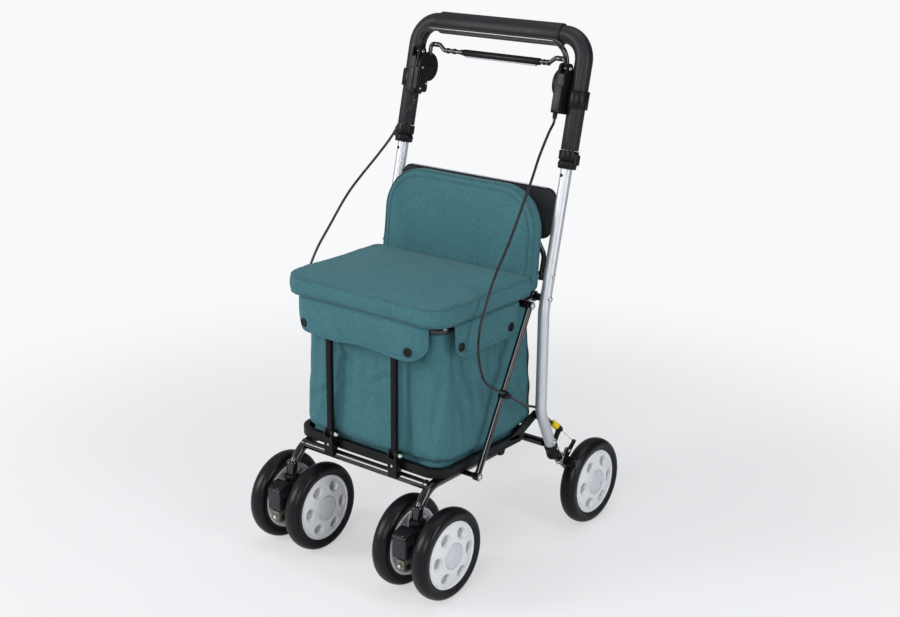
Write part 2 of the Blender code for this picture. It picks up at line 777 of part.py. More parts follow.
def handle():
    finish(tube("handle_tube", handle_path(HANDLE_FOOT), HANDLE_RADIUS, LEANING), "aluminium")
    leg_foot = COLLAR_CENTRE + COLLAR_HEIGHT / 2 + GAP
    middle_bar = [(-GRIP_CENTRE_HALF, 0, GRIP_HEIGHT), (GRIP_CENTRE_HALF, 0, GRIP_HEIGHT)]
    centre = rod("grip_centre", *middle_bar, GRIP_CENTRE_RADIUS, LEANING, sides=16)
    reach = GRIP_CENTRE_HALF + 0.01
    bore_ends = [(-reach, 0, GRIP_HEIGHT), (reach, 0, GRIP_HEIGHT)]
    centre_bore = rod("grip_centre_bore", *bore_ends, bored(HANDLE_RADIUS), LEANING)
    finish(cut(centre, centre_bore), "foam")
    for name, side in SIDES:
        x = side * UPRIGHT_X
        inner = side * (GRIP_CENTRE_HALF + GAP)
        corner = (x, 0, GRIP_HEIGHT)
        outline = filleted([(x, 0, leg_foot), corner, (inner, 0, GRIP_HEIGHT)], GRIP_BEND_RADIUS)
        beyond = inner - side * 0.01
        bore_points = [(x, 0, leg_foot - 0.01), corner, (beyond, 0, GRIP_HEIGHT)]
        bore_path = filleted(bore_points, GRIP_BEND_RADIUS)
        leg = as_mesh(tube(f"grip_leg_{name}", outline, GRIP_LEG_RADIUS, LEANING, GRIP_RESOLUTION))
        bore = as_mesh(tube(f"grip_bore_{name}", bore_path, bored(HANDLE_RADIUS), LEANING))
        finish(cut(leg, bore), "foam")


def brake_housing(name, side):
    """Plate clamped to the grip leg; it carries both bars and the cable's ferrule."""
    low_x = side * HOUSING_INNER_X
    high_x = side * HOUSING_OUTER_X
    corner = 0.004
    circles = [
        (HOUSING_FRONT + corner, HOUSING_FOOT + corner, corner),
        (HOUSING_BACK - corner, HOUSING_FOOT + corner, corner),
        (HOUSING_FRONT + corner, PARKING_PIVOT[1], corner),
        (HOUSING_BACK - corner, PARKING_PIVOT[1], corner),
        (*BRAKE_PIVOT, BRAKE_PIVOT_BOSS),
    ]
    body = plate(f"brake_housing_{name}", belt_outline(circles), low_x, high_x, LEANING)
    clamp_low, clamp_high = HOUSING_CLAMP
    ring_radius = GRIP_LEG_RADIUS + GAP + HOUSING_CLAMP_WALL
    leg = (side * UPRIGHT_X, 0)
    ring = rod(f"clamp_ring_{name}", (*leg, clamp_low), (*leg, clamp_high), ring_radius, LEANING, sides=16)
    peg_x = side * (HOUSING_INNER_X - PARKING_DISC_THICKNESS)
    peg = rod(f"parking_peg_{name}", (high_x, *PARKING_PIVOT), (peg_x, *PARKING_PIVOT), PARKING_PEG_RADIUS, LEANING)
    ferrule_top = (side * FERRULE_X, FERRULE_DEPTH, HOUSING_FOOT + 0.004)
    ferrule_end = (side * FERRULE_X, FERRULE_DEPTH, HOUSING_FOOT - FERRULE_LENGTH)
    ferrule = rod(f"ferrule_{name}", ferrule_top, ferrule_end, FERRULE_RADIUS, LEANING)
    join(body, ring, peg, ferrule)
    grip_bore = rod(
        f"grip_bore_{name}", (*leg, clamp_low - 0.05), (*leg, clamp_high + 0.05), bored(GRIP_LEG_RADIUS), LEANING
    )
    slot_half = BRAKE_BAR_RADIUS + BRAKE_SLOT_CLEARANCE
    slot_x = sorted((side * (BRAKE_BAR_X - slot_half), side * (BRAKE_BAR_X + slot_half)))
    slot = box(
        f"bar_slot_{name}",
        (slot_x[0], HOUSING_FRONT - 0.01, BRAKE_PIVOT[1] - BRAKE_BAR_RADIUS - 2 * BRAKE_SLOT_CLEARANCE),
        (slot_x[1], HOUSING_BACK + 0.02, BRAKE_PIVOT[1] + 0.03),
        LEANING,
    )
    pin_hole = rod(
        f"bar_pin_hole_{name}",
        (side * (HOUSING_INNER_X - 0.002), *BRAKE_PIVOT),
        (side * (HOUSING_OUTER_X + 0.002), *BRAKE_PIVOT),
        bored(BRAKE_PIN_RADIUS, PIN_SIDES),
        LEANING,
        sides=PIN_SIDES,
    )
    finish(cut(body, grip_bore, slot, pin_hole), "plastic")


def brake_bar():
    """Round bar in front of the grip, squeezed to brake; a pin at each foot is its hinge."""
    x = BRAKE_BAR_X
    points = [(-x, *BRAKE_PIVOT), (-x, *BRAKE_BAR_TOP), (x, *BRAKE_BAR_TOP), (x, *BRAKE_PIVOT)]
    bar = as_mesh(tube("brake_bar", filleted(points, BRAKE_BAR_BEND_RADIUS), BRAKE_BAR_RADIUS, BRAKE))
    parts = []
    for name, side in SIDES:
        inner = (side * (HOUSING_INNER_X + 0.0005), *BRAKE_PIVOT)
        outer = (side * (HOUSING_OUTER_X - 0.0005), *BRAKE_PIVOT)
        parts.append(rod(f"brake_bar_pin_{name}", inner, outer, BRAKE_PIN_RADIUS, BRAKE, sides=PIN_SIDES))
        eye_inner = (side * (x - BRAKE_BAR_RADIUS - EYE_PROUD), *BRAKE_PIVOT)
        eye_outer = (side * (x + BRAKE_BAR_RADIUS + EYE_PROUD), *BRAKE_PIVOT)
        parts.append(rod(f"brake_bar_eye_{name}", eye_inner, eye_outer, BRAKE_BAR_RADIUS, BRAKE))
    finish(join(bar, *parts), "black_steel")


def parking_bar():
    """Lower bar with a thick middle sleeve, its two discs turning on the housings' pegs."""
    disc_out = HOUSING_INNER_X - GAP
    disc_in = HOUSING_INNER_X - PARKING_DISC_THICKNESS
    depth = PARKING_PIVOT[0]
    root_x = disc_out - PARKING_ROD_RADIUS - GAP
    shoulder = PARKING_PIVOT[1] + PARKING_DISC_RADIUS * 0.8
    half = [
        (root_x, depth, shoulder),
        (root_x, depth, PARKING_HOOK_HEIGHT),
        (PARKING_SLEEVE_HALF - 0.01, depth, PARKING_SLEEVE_HEIGHT),
    ]
    points = half + [(-x, y, z) for x, y, z in reversed(half)]
    path = filleted(points, PARKING_BEND_RADIUS, 3)
    bar = as_mesh(tube("parking_bar", path, PARKING_ROD_RADIUS, PARKING, THIN_RESOLUTION))
    sleeve_ends = [(side * PARKING_SLEEVE_HALF, depth, PARKING_SLEEVE_HEIGHT) for _, side in SIDES]
    sleeve = rod("parking_sleeve", *sleeve_ends, PARKING_SLEEVE_RADIUS, PARKING)
    discs = []
    holes = []
    for name, side in SIDES:
        inner = (side * disc_in, *PARKING_PIVOT)
        outer = (side * disc_out, *PARKING_PIVOT)
        discs.append(rod(f"parking_disc_{name}", inner, outer, PARKING_DISC_RADIUS, PARKING, sides=18))
        beyond = 0.002
        bore_ends = [(side * (disc_in - beyond), *PARKING_PIVOT), (side * (disc_out + beyond), *PARKING_PIVOT)]
        holes.append(rod(f"parking_bore_{name}", *bore_ends, bored(PARKING_PEG_RADIUS), PARKING))
        hole_ends = [(side * (disc_in - beyond), *PARKING_HOLE), (side * (disc_out + beyond), *PARKING_HOLE)]
        holes.append(rod(f"parking_hole_{name}", *hole_ends, PARKING_HOLE_RADIUS, PARKING, sides=8))
    join(bar, sleeve, *discs)
    finish(cut(bar, *holes), "plastic")


def seat_frame():
    """U-shaped seat tube with pivot eyes at the rear, a lid tube, strut pins and front lugs."""
    x = SEAT_TUBE_X
    front = SEAT_FRONT
    points = [(x, *SEAT_PIVOT), (x, front, SEAT_Z), (-x, front, SEAT_Z), (-x, *SEAT_PIVOT)]
    frame = as_mesh(tube("seat_frame", filleted(points, SEAT_BEND_RADIUS), SEAT_TUBE_RADIUS, SEAT))
    added = [rod("lid_tube", (-x, *LID_PIVOT), (x, *LID_PIVOT), LID_TUBE_RADIUS, SEAT)]
    bores = []
    for name, side in SIDES:
        eye_in = (side * (x - SEAT_TUBE_RADIUS - EYE_PROUD), *SEAT_PIVOT)
        eye_out = (side * (x + SEAT_TUBE_RADIUS + EYE_PROUD), *SEAT_PIVOT)
        added.append(rod(f"seat_eye_{name}", eye_in, eye_out, SEAT_EYE_RADIUS, SEAT))
        pin_end = (side * (STRUT_X + STRUT_RADIUS - 0.002), *STRUT_TOP)
        added.append(rod(f"strut_pin_{name}", (side * x, *STRUT_TOP), pin_end, STRUT_PIN_RADIUS, SEAT))
        boss_end = (side * (STRUT_X - STRUT_RADIUS - EYE_PROUD - GAP), *STRUT_TOP)
        added.append(rod(f"strut_boss_{name}", (side * x, *STRUT_TOP), boss_end, PIVOT_SPACER_RADIUS, SEAT))
        bore_in = (side * (x - SEAT_TUBE_RADIUS * 0.5), *SEAT_PIVOT)
        bore_out = (side * (x + SEAT_TUBE_RADIUS + 0.005), *SEAT_PIVOT)
        bores.append(rod(f"seat_bore_{name}", bore_in, bore_out, bored(PIVOT_PIN_RADIUS), SEAT))
        lug_outline = belt_outline([(*BAR_TOP, SEAT_LUG_RADIUS), (front, SEAT_Z, SEAT_TUBE_RADIUS * 0.9)])
        near = BAR_WIDTH / 2 + GAP
        far = near + SEAT_LUG_THICKNESS
        bar_x = side * BAR_X
        added.append(plate(f"lug_outer_{name}", lug_outline, bar_x + near, bar_x + far, SEAT))
        added.append(plate(f"lug_inner_{name}", lug_outline, bar_x - far, bar_x - near, SEAT))
        pin_half = near + SEAT_LUG_THICKNESS / 2
        pin_ends = [(bar_x - pin_half, *BAR_TOP), (bar_x + pin_half, *BAR_TOP)]
        added.append(rod(f"bar_top_pin_{name}", *pin_ends, BAR_PIN_RADIUS, SEAT, sides=PIN_SIDES))
    join(frame, *added)
    finish(cut(frame, *bores), "black_steel")


def seat_board():
    """Stiff board under the cushion, clipped round the lid tube by two hooks."""
    top = BOARD_BOTTOM + BOARD_THICKNESS
    board = box(
        "seat_board",
        (-BOARD_HALF, BOARD_FRONT, BOARD_BOTTOM),
        (BOARD_HALF, BOARD_REAR, top),
        LID,
        corner=BOARD_CORNER,
    )
    hooks = []
    bores = []
    hook_radius = bored(LID_TUBE_RADIUS) + HOOK_WALL
    for name, side in SIDES:
        low = side * HOOK_X - HOOK_WIDTH / 2
        high = side * HOOK_X + HOOK_WIDTH / 2
        root = (BOARD_REAR - 0.012, BOARD_BOTTOM + BOARD_THICKNESS / 2, BOARD_THICKNESS / 2 - 0.0003)
        outline = belt_outline([(*LID_PIVOT, hook_radius), root])
        hooks.append(plate(f"hook_{name}", outline, low, high, LID))
        bore_ends = [(low - 0.002, *LID_PIVOT), (high + 0.002, *LID_PIVOT)]
        bores.append(rod(f"hook_bore_{name}", *bore_ends, bored(LID_TUBE_RADIUS), LID))
    join(board, *hooks)
    finish(cut(board, *bores), "plastic")


def cage(cuts):
    """Unit cube from -1 to 1, its edges along each axis cut into equal runs."""
    bm = bmesh.new()
    bmesh.ops.create_cube(bm, size=2.0)
    for axis, count in enumerate(cuts):
        edges = []
        for edge in bm.edges:
            run = edge.verts[0].co - edge.verts[1].co
            if abs(run[axis]) > 0.9 * run.length:
                edges.append(edge)
        bmesh.ops.subdivide_edges(bm, edges=edges, cuts=count, use_grid_fill=True)
    return bm


def rounded_plan(u, v, half_u, half_v, high_corner, low_corner, pull):
    """Point of a rounded rectangle whose sides pull in a little between their corners."""
    ring = max(abs(u), abs(v))
    if ring < 1e-6:
        return 0.0, 0.0
    corner = ring * (high_corner if v > 0 else low_corner)
    x = u * half_u * (1 - pull / half_u * (1 - v * v) * abs(u))
    y = v * half_v * (1 - pull / half_v * (1 - u * u) * abs(v))
    over_x = abs(x) - (half_u * ring - corner)
    over_y = abs(y) - (half_v * ring - corner)
    if over_x > 0 and over_y > 0:
        reach = max(over_x, over_y)
        length = math.hypot(over_x, over_y)
        x -= math.copysign(over_x - reach * over_x / length, x)
        y -= math.copysign(over_y - reach * over_y / length, y)
    return x, y


def soft_block(name, parent, cuts, shape, crease, location=(0, 0, 0), rotation=(0, 0, 0)):
    """Padded form: a coarse cage moved into shape, its two rims creased, then subdivided."""
    bm = cage(cuts)
    creases = bm.edges.layers.float.new("crease_edge")
    for edge in bm.edges:
        ends = [vert.co for vert in edge.verts]
        on_rim = all(max(abs(co.x), abs(co.y)) > 0.999 and abs(co.z) > 0.999 for co in ends)
        if on_rim and abs(ends[0].z - ends[1].z) < 0.001:
            edge[creases] = crease
    for vert in bm.verts:
        vert.co = shape(*vert.co)
    bmesh.ops.recalc_face_normals(bm, faces=bm.faces)
    obj = place(name, to_mesh(name, bm), parent, location, rotation)
    smooth = obj.modifiers.new("soften", "SUBSURF")
    smooth.levels = 1
    smooth.render_levels = 1
    return obj


def seat_cushion():
    """Box cushion with a crowned top; a front flap and two side flaps hang from its lower edge."""
    half_y = (CUSHION_REAR - CUSHION_FRONT) / 2
    middle_y = (CUSHION_REAR + CUSHION_FRONT) / 2

    def shape(u, v, w):
        x, y = rounded_plan(u, v, CUSHION_HALF, half_y, CUSHION_REAR_CORNER, CUSHION_FRONT_CORNER, CUSHION_PULL)
        crown = CUSHION_CROWN * (1 - u * u) * (1 - v * v) if w > 0 else 0.0
        return Vector((x, y + middle_y, CUSHION_BOTTOM + CUSHION_EDGE * (w + 1) / 2 + crown))

    cushion = soft_block("seat_cushion", LID, (5, 4, 1), shape, 0.7)
    strip_top = CUSHION_BOTTOM + FLAP_THICKNESS
    inside = FLAP_TOP_OVERLAP
    flaps = []
    front_low = FRONT_FLAP_Y - FLAP_THICKNESS
    half = FRONT_FLAP_HALF
    strip_low = (-half + 0.02, front_low, CUSHION_BOTTOM)
    strip_high = (half - 0.02, CUSHION_FRONT + inside, strip_top)
    flaps.append(box("front_flap_strip", strip_low, strip_high, LID))
    front_corners = ((-half, front_low, FRONT_FLAP_HEM), (half, FRONT_FLAP_Y, strip_top))
    flaps.append(box("front_flap", *front_corners, LID, corner=FLAP_CORNER, corner_axis=1))
    for name, side in SIDES:
        inner = side * (CUSHION_HALF - inside)
        near = side * SIDE_FLAP_X
        far = side * (SIDE_FLAP_X + FLAP_THICKNESS)
        back = SIDE_FLAP_REAR - SIDE_FLAP_TAPER
        front = SIDE_FLAP_FRONT + SIDE_FLAP_TAPER
        strip_x = sorted((inner, far))
        strip_low = (strip_x[0], front, CUSHION_BOTTOM)
        flaps.append(box(f"side_strip_{name}", strip_low, (strip_x[1], back, strip_top), LID))
        outline = belt_outline([
            (front + 0.01, SIDE_FLAP_HEM + 0.01, 0.01),
            (back - 0.01, SIDE_FLAP_HEM + 0.01, 0.01),
            (SIDE_FLAP_FRONT + 0.002, strip_top - 0.002, 0.002),
            (SIDE_FLAP_REAR - 0.002, strip_top - 0.002, 0.002),
        ], 8)
        flaps.append(plate(f"side_flap_{name}", outline, min(near, far), max(near, far), LID))
    finish(join(cushion, *flaps), "fabric")


def backrest_pad():
    """Padded panel with wide upper corners, leaning back against the backrest frame."""
    height = (PAD_TOP - PAD_BOTTOM) / math.cos(PAD_LEAN)

    def shape(u, v, w):
        x, up = rounded_plan(u, v, PAD_HALF, height / 2, PAD_TOP_CORNER, PAD_BOTTOM_CORNER, PAD_PULL)
        crown = PAD_CROWN * (1 - u * u) * (1 - v * v) if w < 0 else 0.0
        return Vector((x, PAD_THICKNESS * (w + 1) / 2 - crown, up + height / 2))

    location = (0, PAD_FRONT_AT_BOTTOM, PAD_BOTTOM)
    pad = soft_block("backrest_pad", None, (6, 4, 1), shape, 0.7, location, (-PAD_LEAN, 0, 0))
    finish(pad, "fabric")


def pad_back(z):
    """Depth of the pad's rear face at a height."""
    return PAD_FRONT_AT_BOTTOM + PAD_THICKNESS / math.cos(PAD_LEAN) + (z - PAD_BOTTOM) * math.tan(PAD_LEAN)


def backrest_frame():
    """Bent tube behind the pad, bolted to both uprights."""
    clear = (BACK_TUBE_RADIUS + GAP) / math.cos(PAD_LEAN)
    half = [
        (BACK_TUBE_X, *BACK_FOOT),
        (BACK_TUBE_X, *BACK_KNEE),
        (BACK_NARROW_X, pad_back(BACK_NARROW_Z) + clear, BACK_NARROW_Z),
        (BACK_NARROW_X - 0.012, pad_back(BACK_TOP_Z) + clear, BACK_TOP_Z),
    ]
    points = half + [(-x, y, z) for x, y, z in reversed(half)]
    path = filleted(points, BACK_BEND_RADIUS, 3)
    frame = as_mesh(tube("backrest_frame", path, BACK_TUBE_RADIUS, None, THIN_RESOLUTION))
    slope = (BACK_KNEE[0] - BACK_FOOT[0]) / (BACK_KNEE[1] - BACK_FOOT[1])
    bolt_y = BACK_FOOT[0] + (BACK_BOLT_Z - BACK_FOOT[1]) * slope
    bolts = []
    for name, side in SIDES:
        start = (side * BACK_TUBE_X, bolt_y, BACK_BOLT_Z)
        end = (side * (UPRIGHT_X - UPRIGHT_RADIUS - GAP), bolt_y, BACK_BOLT_Z)
        bolts.append(rod(f"back_bolt_{name}", start, end, BACK_BOLT_RADIUS, sides=8))
    finish(join(frame, *bolts), "black_steel")


def rear_panel():
    """Stiff panel between the uprights, in their leaning plane."""
    half = UPRIGHT_X - UPRIGHT_RADIUS - GAP
    low = (PANEL_BOTTOM - SEAT_BEND[1]) / math.cos(LEAN)
    high = (PANEL_TOP - SEAT_BEND[1]) / math.cos(LEAN)
    depth = PANEL_THICKNESS / 2
    panel = box(
        "rear_panel",
        (-half, -depth, low),
        (half, depth, high),
        UPRIGHT_FRAME,
        corner=PANEL_CORNER,
        corner_axis=1,
    )
    finish(panel, "panel")


def tray_rim():
    """Moulded band round the bag's foot, with a lug on each side that hinges on the upright."""
    outer = ((-TRAY_HALF, TRAY_FRONT, TRAY_BOTTOM), (TRAY_HALF, TRAY_REAR, TRAY_TOP))
    rim = box("tray_rim", *outer, TRAY, corner=TRAY_CORNER, segments=4)
    inner_x = TRAY_HALF - TRAY_BAND
    low = (-inner_x, TRAY_FRONT + TRAY_BAND, TRAY_BOTTOM - 0.01)
    high = (inner_x, TRAY_REAR - TRAY_BAND, TRAY_TOP + 0.01)
    hole = box("tray_rim_hole", low, high, TRAY, corner=TRAY_CORNER - TRAY_BAND, segments=4)
    lugs = []
    bores = []
    for name, side in SIDES:
        base = (TRAY_REAR - TRAY_CORNER - TRAY_LUG_BASE, TRAY_TOP - 0.004, 0.003)
        rear = (TRAY_REAR - TRAY_CORNER, TRAY_TOP - 0.008, 0.003)
        outline = belt_outline([(*TRAY_PIVOT, TRAY_LUG_RADIUS), base, rear])
        near = side * (TRAY_HALF - TRAY_LUG_THICKNESS)
        far = side * TRAY_HALF
        lugs.append(plate(f"tray_lug_{name}", outline, min(near, far), max(near, far), TRAY))
        ends = [(near - side * 0.002, *TRAY_PIVOT), (far + side * 0.002, *TRAY_PIVOT)]
        bores.append(rod(f"tray_bore_{name}", *ends, bored(PIVOT_PIN_RADIUS), TRAY))
    cut(rim, hole)
    join(rim, *lugs)
    finish(cut(rim, *bores), "plastic")


def tray_floor():
    """Floor of the tray, with lugs and pins underneath that carry the chassis."""
    inset = TRAY_BAND + GAP
    half = TRAY_HALF - inset
    floor = box(
        "tray_floor",
        (-half, TRAY_FRONT + inset, TRAY_FLOOR_BOTTOM),
        (half, TRAY_REAR - inset, TRAY_FLOOR_TOP),
        TRAY,
        corner=TRAY_CORNER - inset,
        segments=4,
    )
    y, z = CHASSIS_PIVOT
    foot = TRAY_FLOOR_BOTTOM + TRAY_FLOOR_THICKNESS / 2
    outline = belt_outline([
        (y, z, CHASSIS_LUG_RADIUS),
        (y - CHASSIS_LUG_BASE, foot, 0.001),
        (y + CHASSIS_LUG_BASE, foot, 0.001),
    ])
    added = []
    near = CHASSIS_TUBE_RADIUS + EYE_PROUD + GAP
    far = near + CHASSIS_LUG_THICKNESS
    for name, side in SIDES:
        x = side * CASTER_X
        added.append(plate(f"chassis_lug_in_{name}", outline, x - far, x - near, TRAY))
        added.append(plate(f"chassis_lug_out_{name}", outline, x + near, x + far, TRAY))
        reach = far - 0.001
        added.append(rod(f"chassis_pin_{name}", (x - reach, y, z), (x + reach, y, z), PIVOT_PIN_RADIUS, TRAY))
    finish(join(floor, *added), "plastic")


def bar_bracket(name, side):
    """Moulded bracket on the tray's front: two ears hold the bar's foot, a saddle sits on the chassis tube."""
    x = side * BAR_X
    half = BRACKET_WIDTH / 2
    back = TRAY_FRONT - GAP
    edge = 0.0015
    circles = [
        (BRACKET_FRONT + edge, BRACKET_BOTTOM + edge, edge),
        (back - edge, BRACKET_BOTTOM + edge, edge),
        (BRACKET_FRONT + edge, BAR_PIVOT[1], edge),
        (*BAR_PIVOT, BRACKET_EAR_RADIUS),
    ]
    bracket = plate(f"bar_bracket_{name}", belt_outline(circles), x - half, x + half, TRAY)
    pin_half = half - 0.001
    pin_ends = [(x - pin_half, *BAR_PIVOT), (x + pin_half, *BAR_PIVOT)]
    pin = rod(f"bar_foot_pin_{name}", *pin_ends, BAR_PIN_RADIUS, TRAY, sides=PIN_SIDES)
    slot_half = BAR_WIDTH / 2 + GAP
    far = 0.03
    slot = box(
        f"bracket_slot_{name}",
        (x - slot_half, BAR_PIVOT[0] - far, BAR_PIVOT[1] - BAR_DEPTH / 2 - 2 * GAP),
        (x + slot_half, BAR_PIVOT[0] + far, BAR_PIVOT[1] + far),
        TRAY,
    )
    behind_low = (x - far, back, BRACKET_BOTTOM - far)
    behind = box(f"bracket_back_{name}", behind_low, (x + far, back + far, TRAY_TOP + GAP), TRAY)
    saddle_radius = CHASSIS_TUBE_RADIUS + BRACKET_SADDLE_CLEARANCE
    tube_centre = (CHASSIS_FRONT, CHASSIS_Z)
    saddle = rod(f"saddle_{name}", (x - far, *tube_centre), (x + far, *tube_centre), saddle_radius, TRAY)
    below = box(
        f"saddle_mouth_{name}",
        (x - far, CHASSIS_FRONT - saddle_radius, BRACKET_BOTTOM - far),
        (x + far, CHASSIS_FRONT + far, CHASSIS_Z),
        TRAY,
    )
    cut(bracket, slot, behind, saddle, below)
    finish(join(bracket, pin), "plastic")


def front_bar(name, side):
    """Flat bar from the tray's bracket up to the seat frame's lugs, round at both ends."""
    x = side * BAR_X
    half = BAR_WIDTH / 2
    radius = BAR_DEPTH / 2
    outline = belt_outline([(*BAR_PIVOT, radius), (*BAR_TOP, radius)])
    bar = plate(f"front_bar_{name}", outline, x - half, x + half, BARS)
    holes = []
    for label, point in (("foot", BAR_PIVOT), ("top", BAR_TOP)):
        ends = [(x - half - 0.002, *point), (x + half + 0.002, *point)]
        radius = bored(BAR_PIN_RADIUS, PIN_SIDES)
        holes.append(rod(f"bar_{label}_hole_{name}", *ends, radius, BARS, sides=PIN_SIDES))
    finish(cut(bar, *holes), "black_steel")


def chassis_frame():
    """Welded tubes: two arms, the front cross tube, caster stems and the struts' foot pegs."""
    cross_ends = [(side * CASTER_X, CHASSIS_FRONT, CHASSIS_Z) for _, side in SIDES]
    frame = rod("chassis_frame", *cross_ends, CHASSIS_TUBE_RADIUS, CHASSIS)
    added = []
    bores = []
    for name, side in SIDES:
        x = side * CASTER_X
        arm = [(x, SWIVEL_Y, STEM_TOP - 0.012), (x, CHASSIS_FRONT, CHASSIS_Z), (x, *CHASSIS_PIVOT)]
        added.append(as_mesh(tube(f"arm_{name}", filleted(arm, CHASSIS_BEND_RADIUS), CHASSIS_TUBE_RADIUS, CHASSIS)))
        stem = (x, SWIVEL_Y)
        added.append(rod(f"stem_{name}", (*stem, STEM_BOTTOM), (*stem, STEM_TOP), STEM_RADIUS, CHASSIS))
        pin_ends = [(*stem, STEM_TOP - 0.01), (*stem, STEM_PIN_BOTTOM)]
        added.append(rod(f"stem_pin_{name}", *pin_ends, STEM_PIN_RADIUS, CHASSIS))
        eye_in = (x - CHASSIS_TUBE_RADIUS - EYE_PROUD, *CHASSIS_PIVOT)
        eye_out = (x + CHASSIS_TUBE_RADIUS + EYE_PROUD, *CHASSIS_PIVOT)
        added.append(rod(f"chassis_eye_{name}", eye_in, eye_out, CHASSIS_EYE_RADIUS, CHASSIS))
        peg_end = side * (STRUT_X - STRUT_RADIUS - EYE_PROUD - GAP)
        added.append(rod(f"strut_peg_{name}", (x, *STRUT_FOOT), (peg_end, *STRUT_FOOT), CHASSIS_PEG_RADIUS, CHASSIS))
        reach = CHASSIS_TUBE_RADIUS + 0.002
        ends = [(x - reach, *CHASSIS_PIVOT), (x + reach, *CHASSIS_PIVOT)]
        bores.append(rod(f"chassis_bore_{name}", *ends, bored(PIVOT_PIN_RADIUS), CHASSIS))
    join(frame, *added)
    finish(cut(frame, *bores), "black_steel")


def caster(name, side):
    """Swivel caster: black housing and box, bare carrier with the axle, two wheels."""
    x = side * CASTER_X
    swivel = pivot(f"caster_{name}_swivel", (x, SWIVEL_Y, 0), CHASSIS)
    housing_top = STEM_BOTTOM - GAP
    axis = (x, SWIVEL_Y)
    fork = rod(f"caster_fork_{name}", (*axis, HOUSING_BOTTOM), (*axis, housing_top), HOUSING_RADIUS, swivel, sides=16)
    (box_front, box_bottom), (box_back, box_top) = CASTER_BOX
    block = box(
        f"caster_box_{name}",
        (x - CASTER_BOX_HALF, SWIVEL_Y + box_front, box_bottom),
        (x + CASTER_BOX_HALF, SWIVEL_Y + box_back, box_top),
        swivel,
        corner=0.004,
        corner_axis=0,
        segments=2,
    )
    web_bottom = 0.1003
    web_outline = [
        (SWIVEL_Y + 0.014, web_bottom),
        (SWIVEL_Y + 0.014, HOUSING_BOTTOM + 0.010),
        (SWIVEL_Y + box_back - 0.005, HOUSING_BOTTOM + 0.018),
        (SWIVEL_Y + box_back - 0.005, box_bottom),
        (SWIVEL_Y + box_back, box_bottom),
        (SWIVEL_Y - 0.010, web_bottom),
    ]
    web = plate(f"caster_web_{name}", web_outline, x - CASTER_WEB_HALF, x + CASTER_WEB_HALF, swivel)
    bore_bottom = STEM_PIN_BOTTOM - 2 * GAP
    bore_ends = [(*axis, bore_bottom), (*axis, housing_top + 0.01)]
    bore = rod(f"caster_bore_{name}", *bore_ends, bored(STEM_PIN_RADIUS), swivel)
    join(fork, block, web)
    finish(cut(fork, bore), "plastic")

    top = web_bottom - 2 * GAP
    step = box_bottom - GAP
    axle_y = SWIVEL_Y + CASTER_TRAIL
    carrier_outline = [
        (SWIVEL_Y + box_front + 0.003, step),
        (SWIVEL_Y + box_front + 0.003, 0.070),
        (SWIVEL_Y - 0.035, 0.064),
        (SWIVEL_Y + 0.012, 0.072),
        (axle_y + 0.008, WHEEL_RADIUS - 0.0105),
        (axle_y + 0.013, WHEEL_RADIUS),
        (axle_y + 0.008, WHEEL_RADIUS + 0.0105),
        (SWIVEL_Y + 0.014, top),
        (SWIVEL_Y - 0.0098, top),
        (SWIVEL_Y + box_back + 0.0004, step),
    ]
    carrier = plate(f"caster_carrier_{name}", carrier_outline, x - CARRIER_HALF, x + CARRIER_HALF, swivel)
    spacer_half = CASTER_WHEEL_OFFSET - TYRE_WIDTH / 2 - GAP
    axle_half = CASTER_WHEEL_OFFSET + HUB_BORE_END - 2 * GAP
    centre = (axle_y, WHEEL_RADIUS)
    spacer_ends = [(x - spacer_half, *centre), (x + spacer_half, *centre)]
    axle_ends = [(x - axle_half, *centre), (x + axle_half, *centre)]
    spacer = rod(f"carrier_spacer_{name}", *spacer_ends, CARRIER_SPACER_RADIUS, swivel)
    axle = rod(f"carrier_axle_{name}", *axle_ends, AXLE_RADIUS, swivel)
    finish(join(carrier, spacer, axle), "bare_steel")
    for label, outward in (("outer", side), ("inner", -side)):
        wheel("front", f"{name}_{label}", (x + outward * CASTER_WHEEL_OFFSET, *centre), outward, swivel)


def strut_point(z):
    """Depth of the strut's centre line at a height."""
    share = (z - STRUT_FOOT[1]) / (STRUT_TOP[1] - STRUT_FOOT[1])
    return STRUT_FOOT[0] + share * (STRUT_TOP[0] - STRUT_FOOT[0])


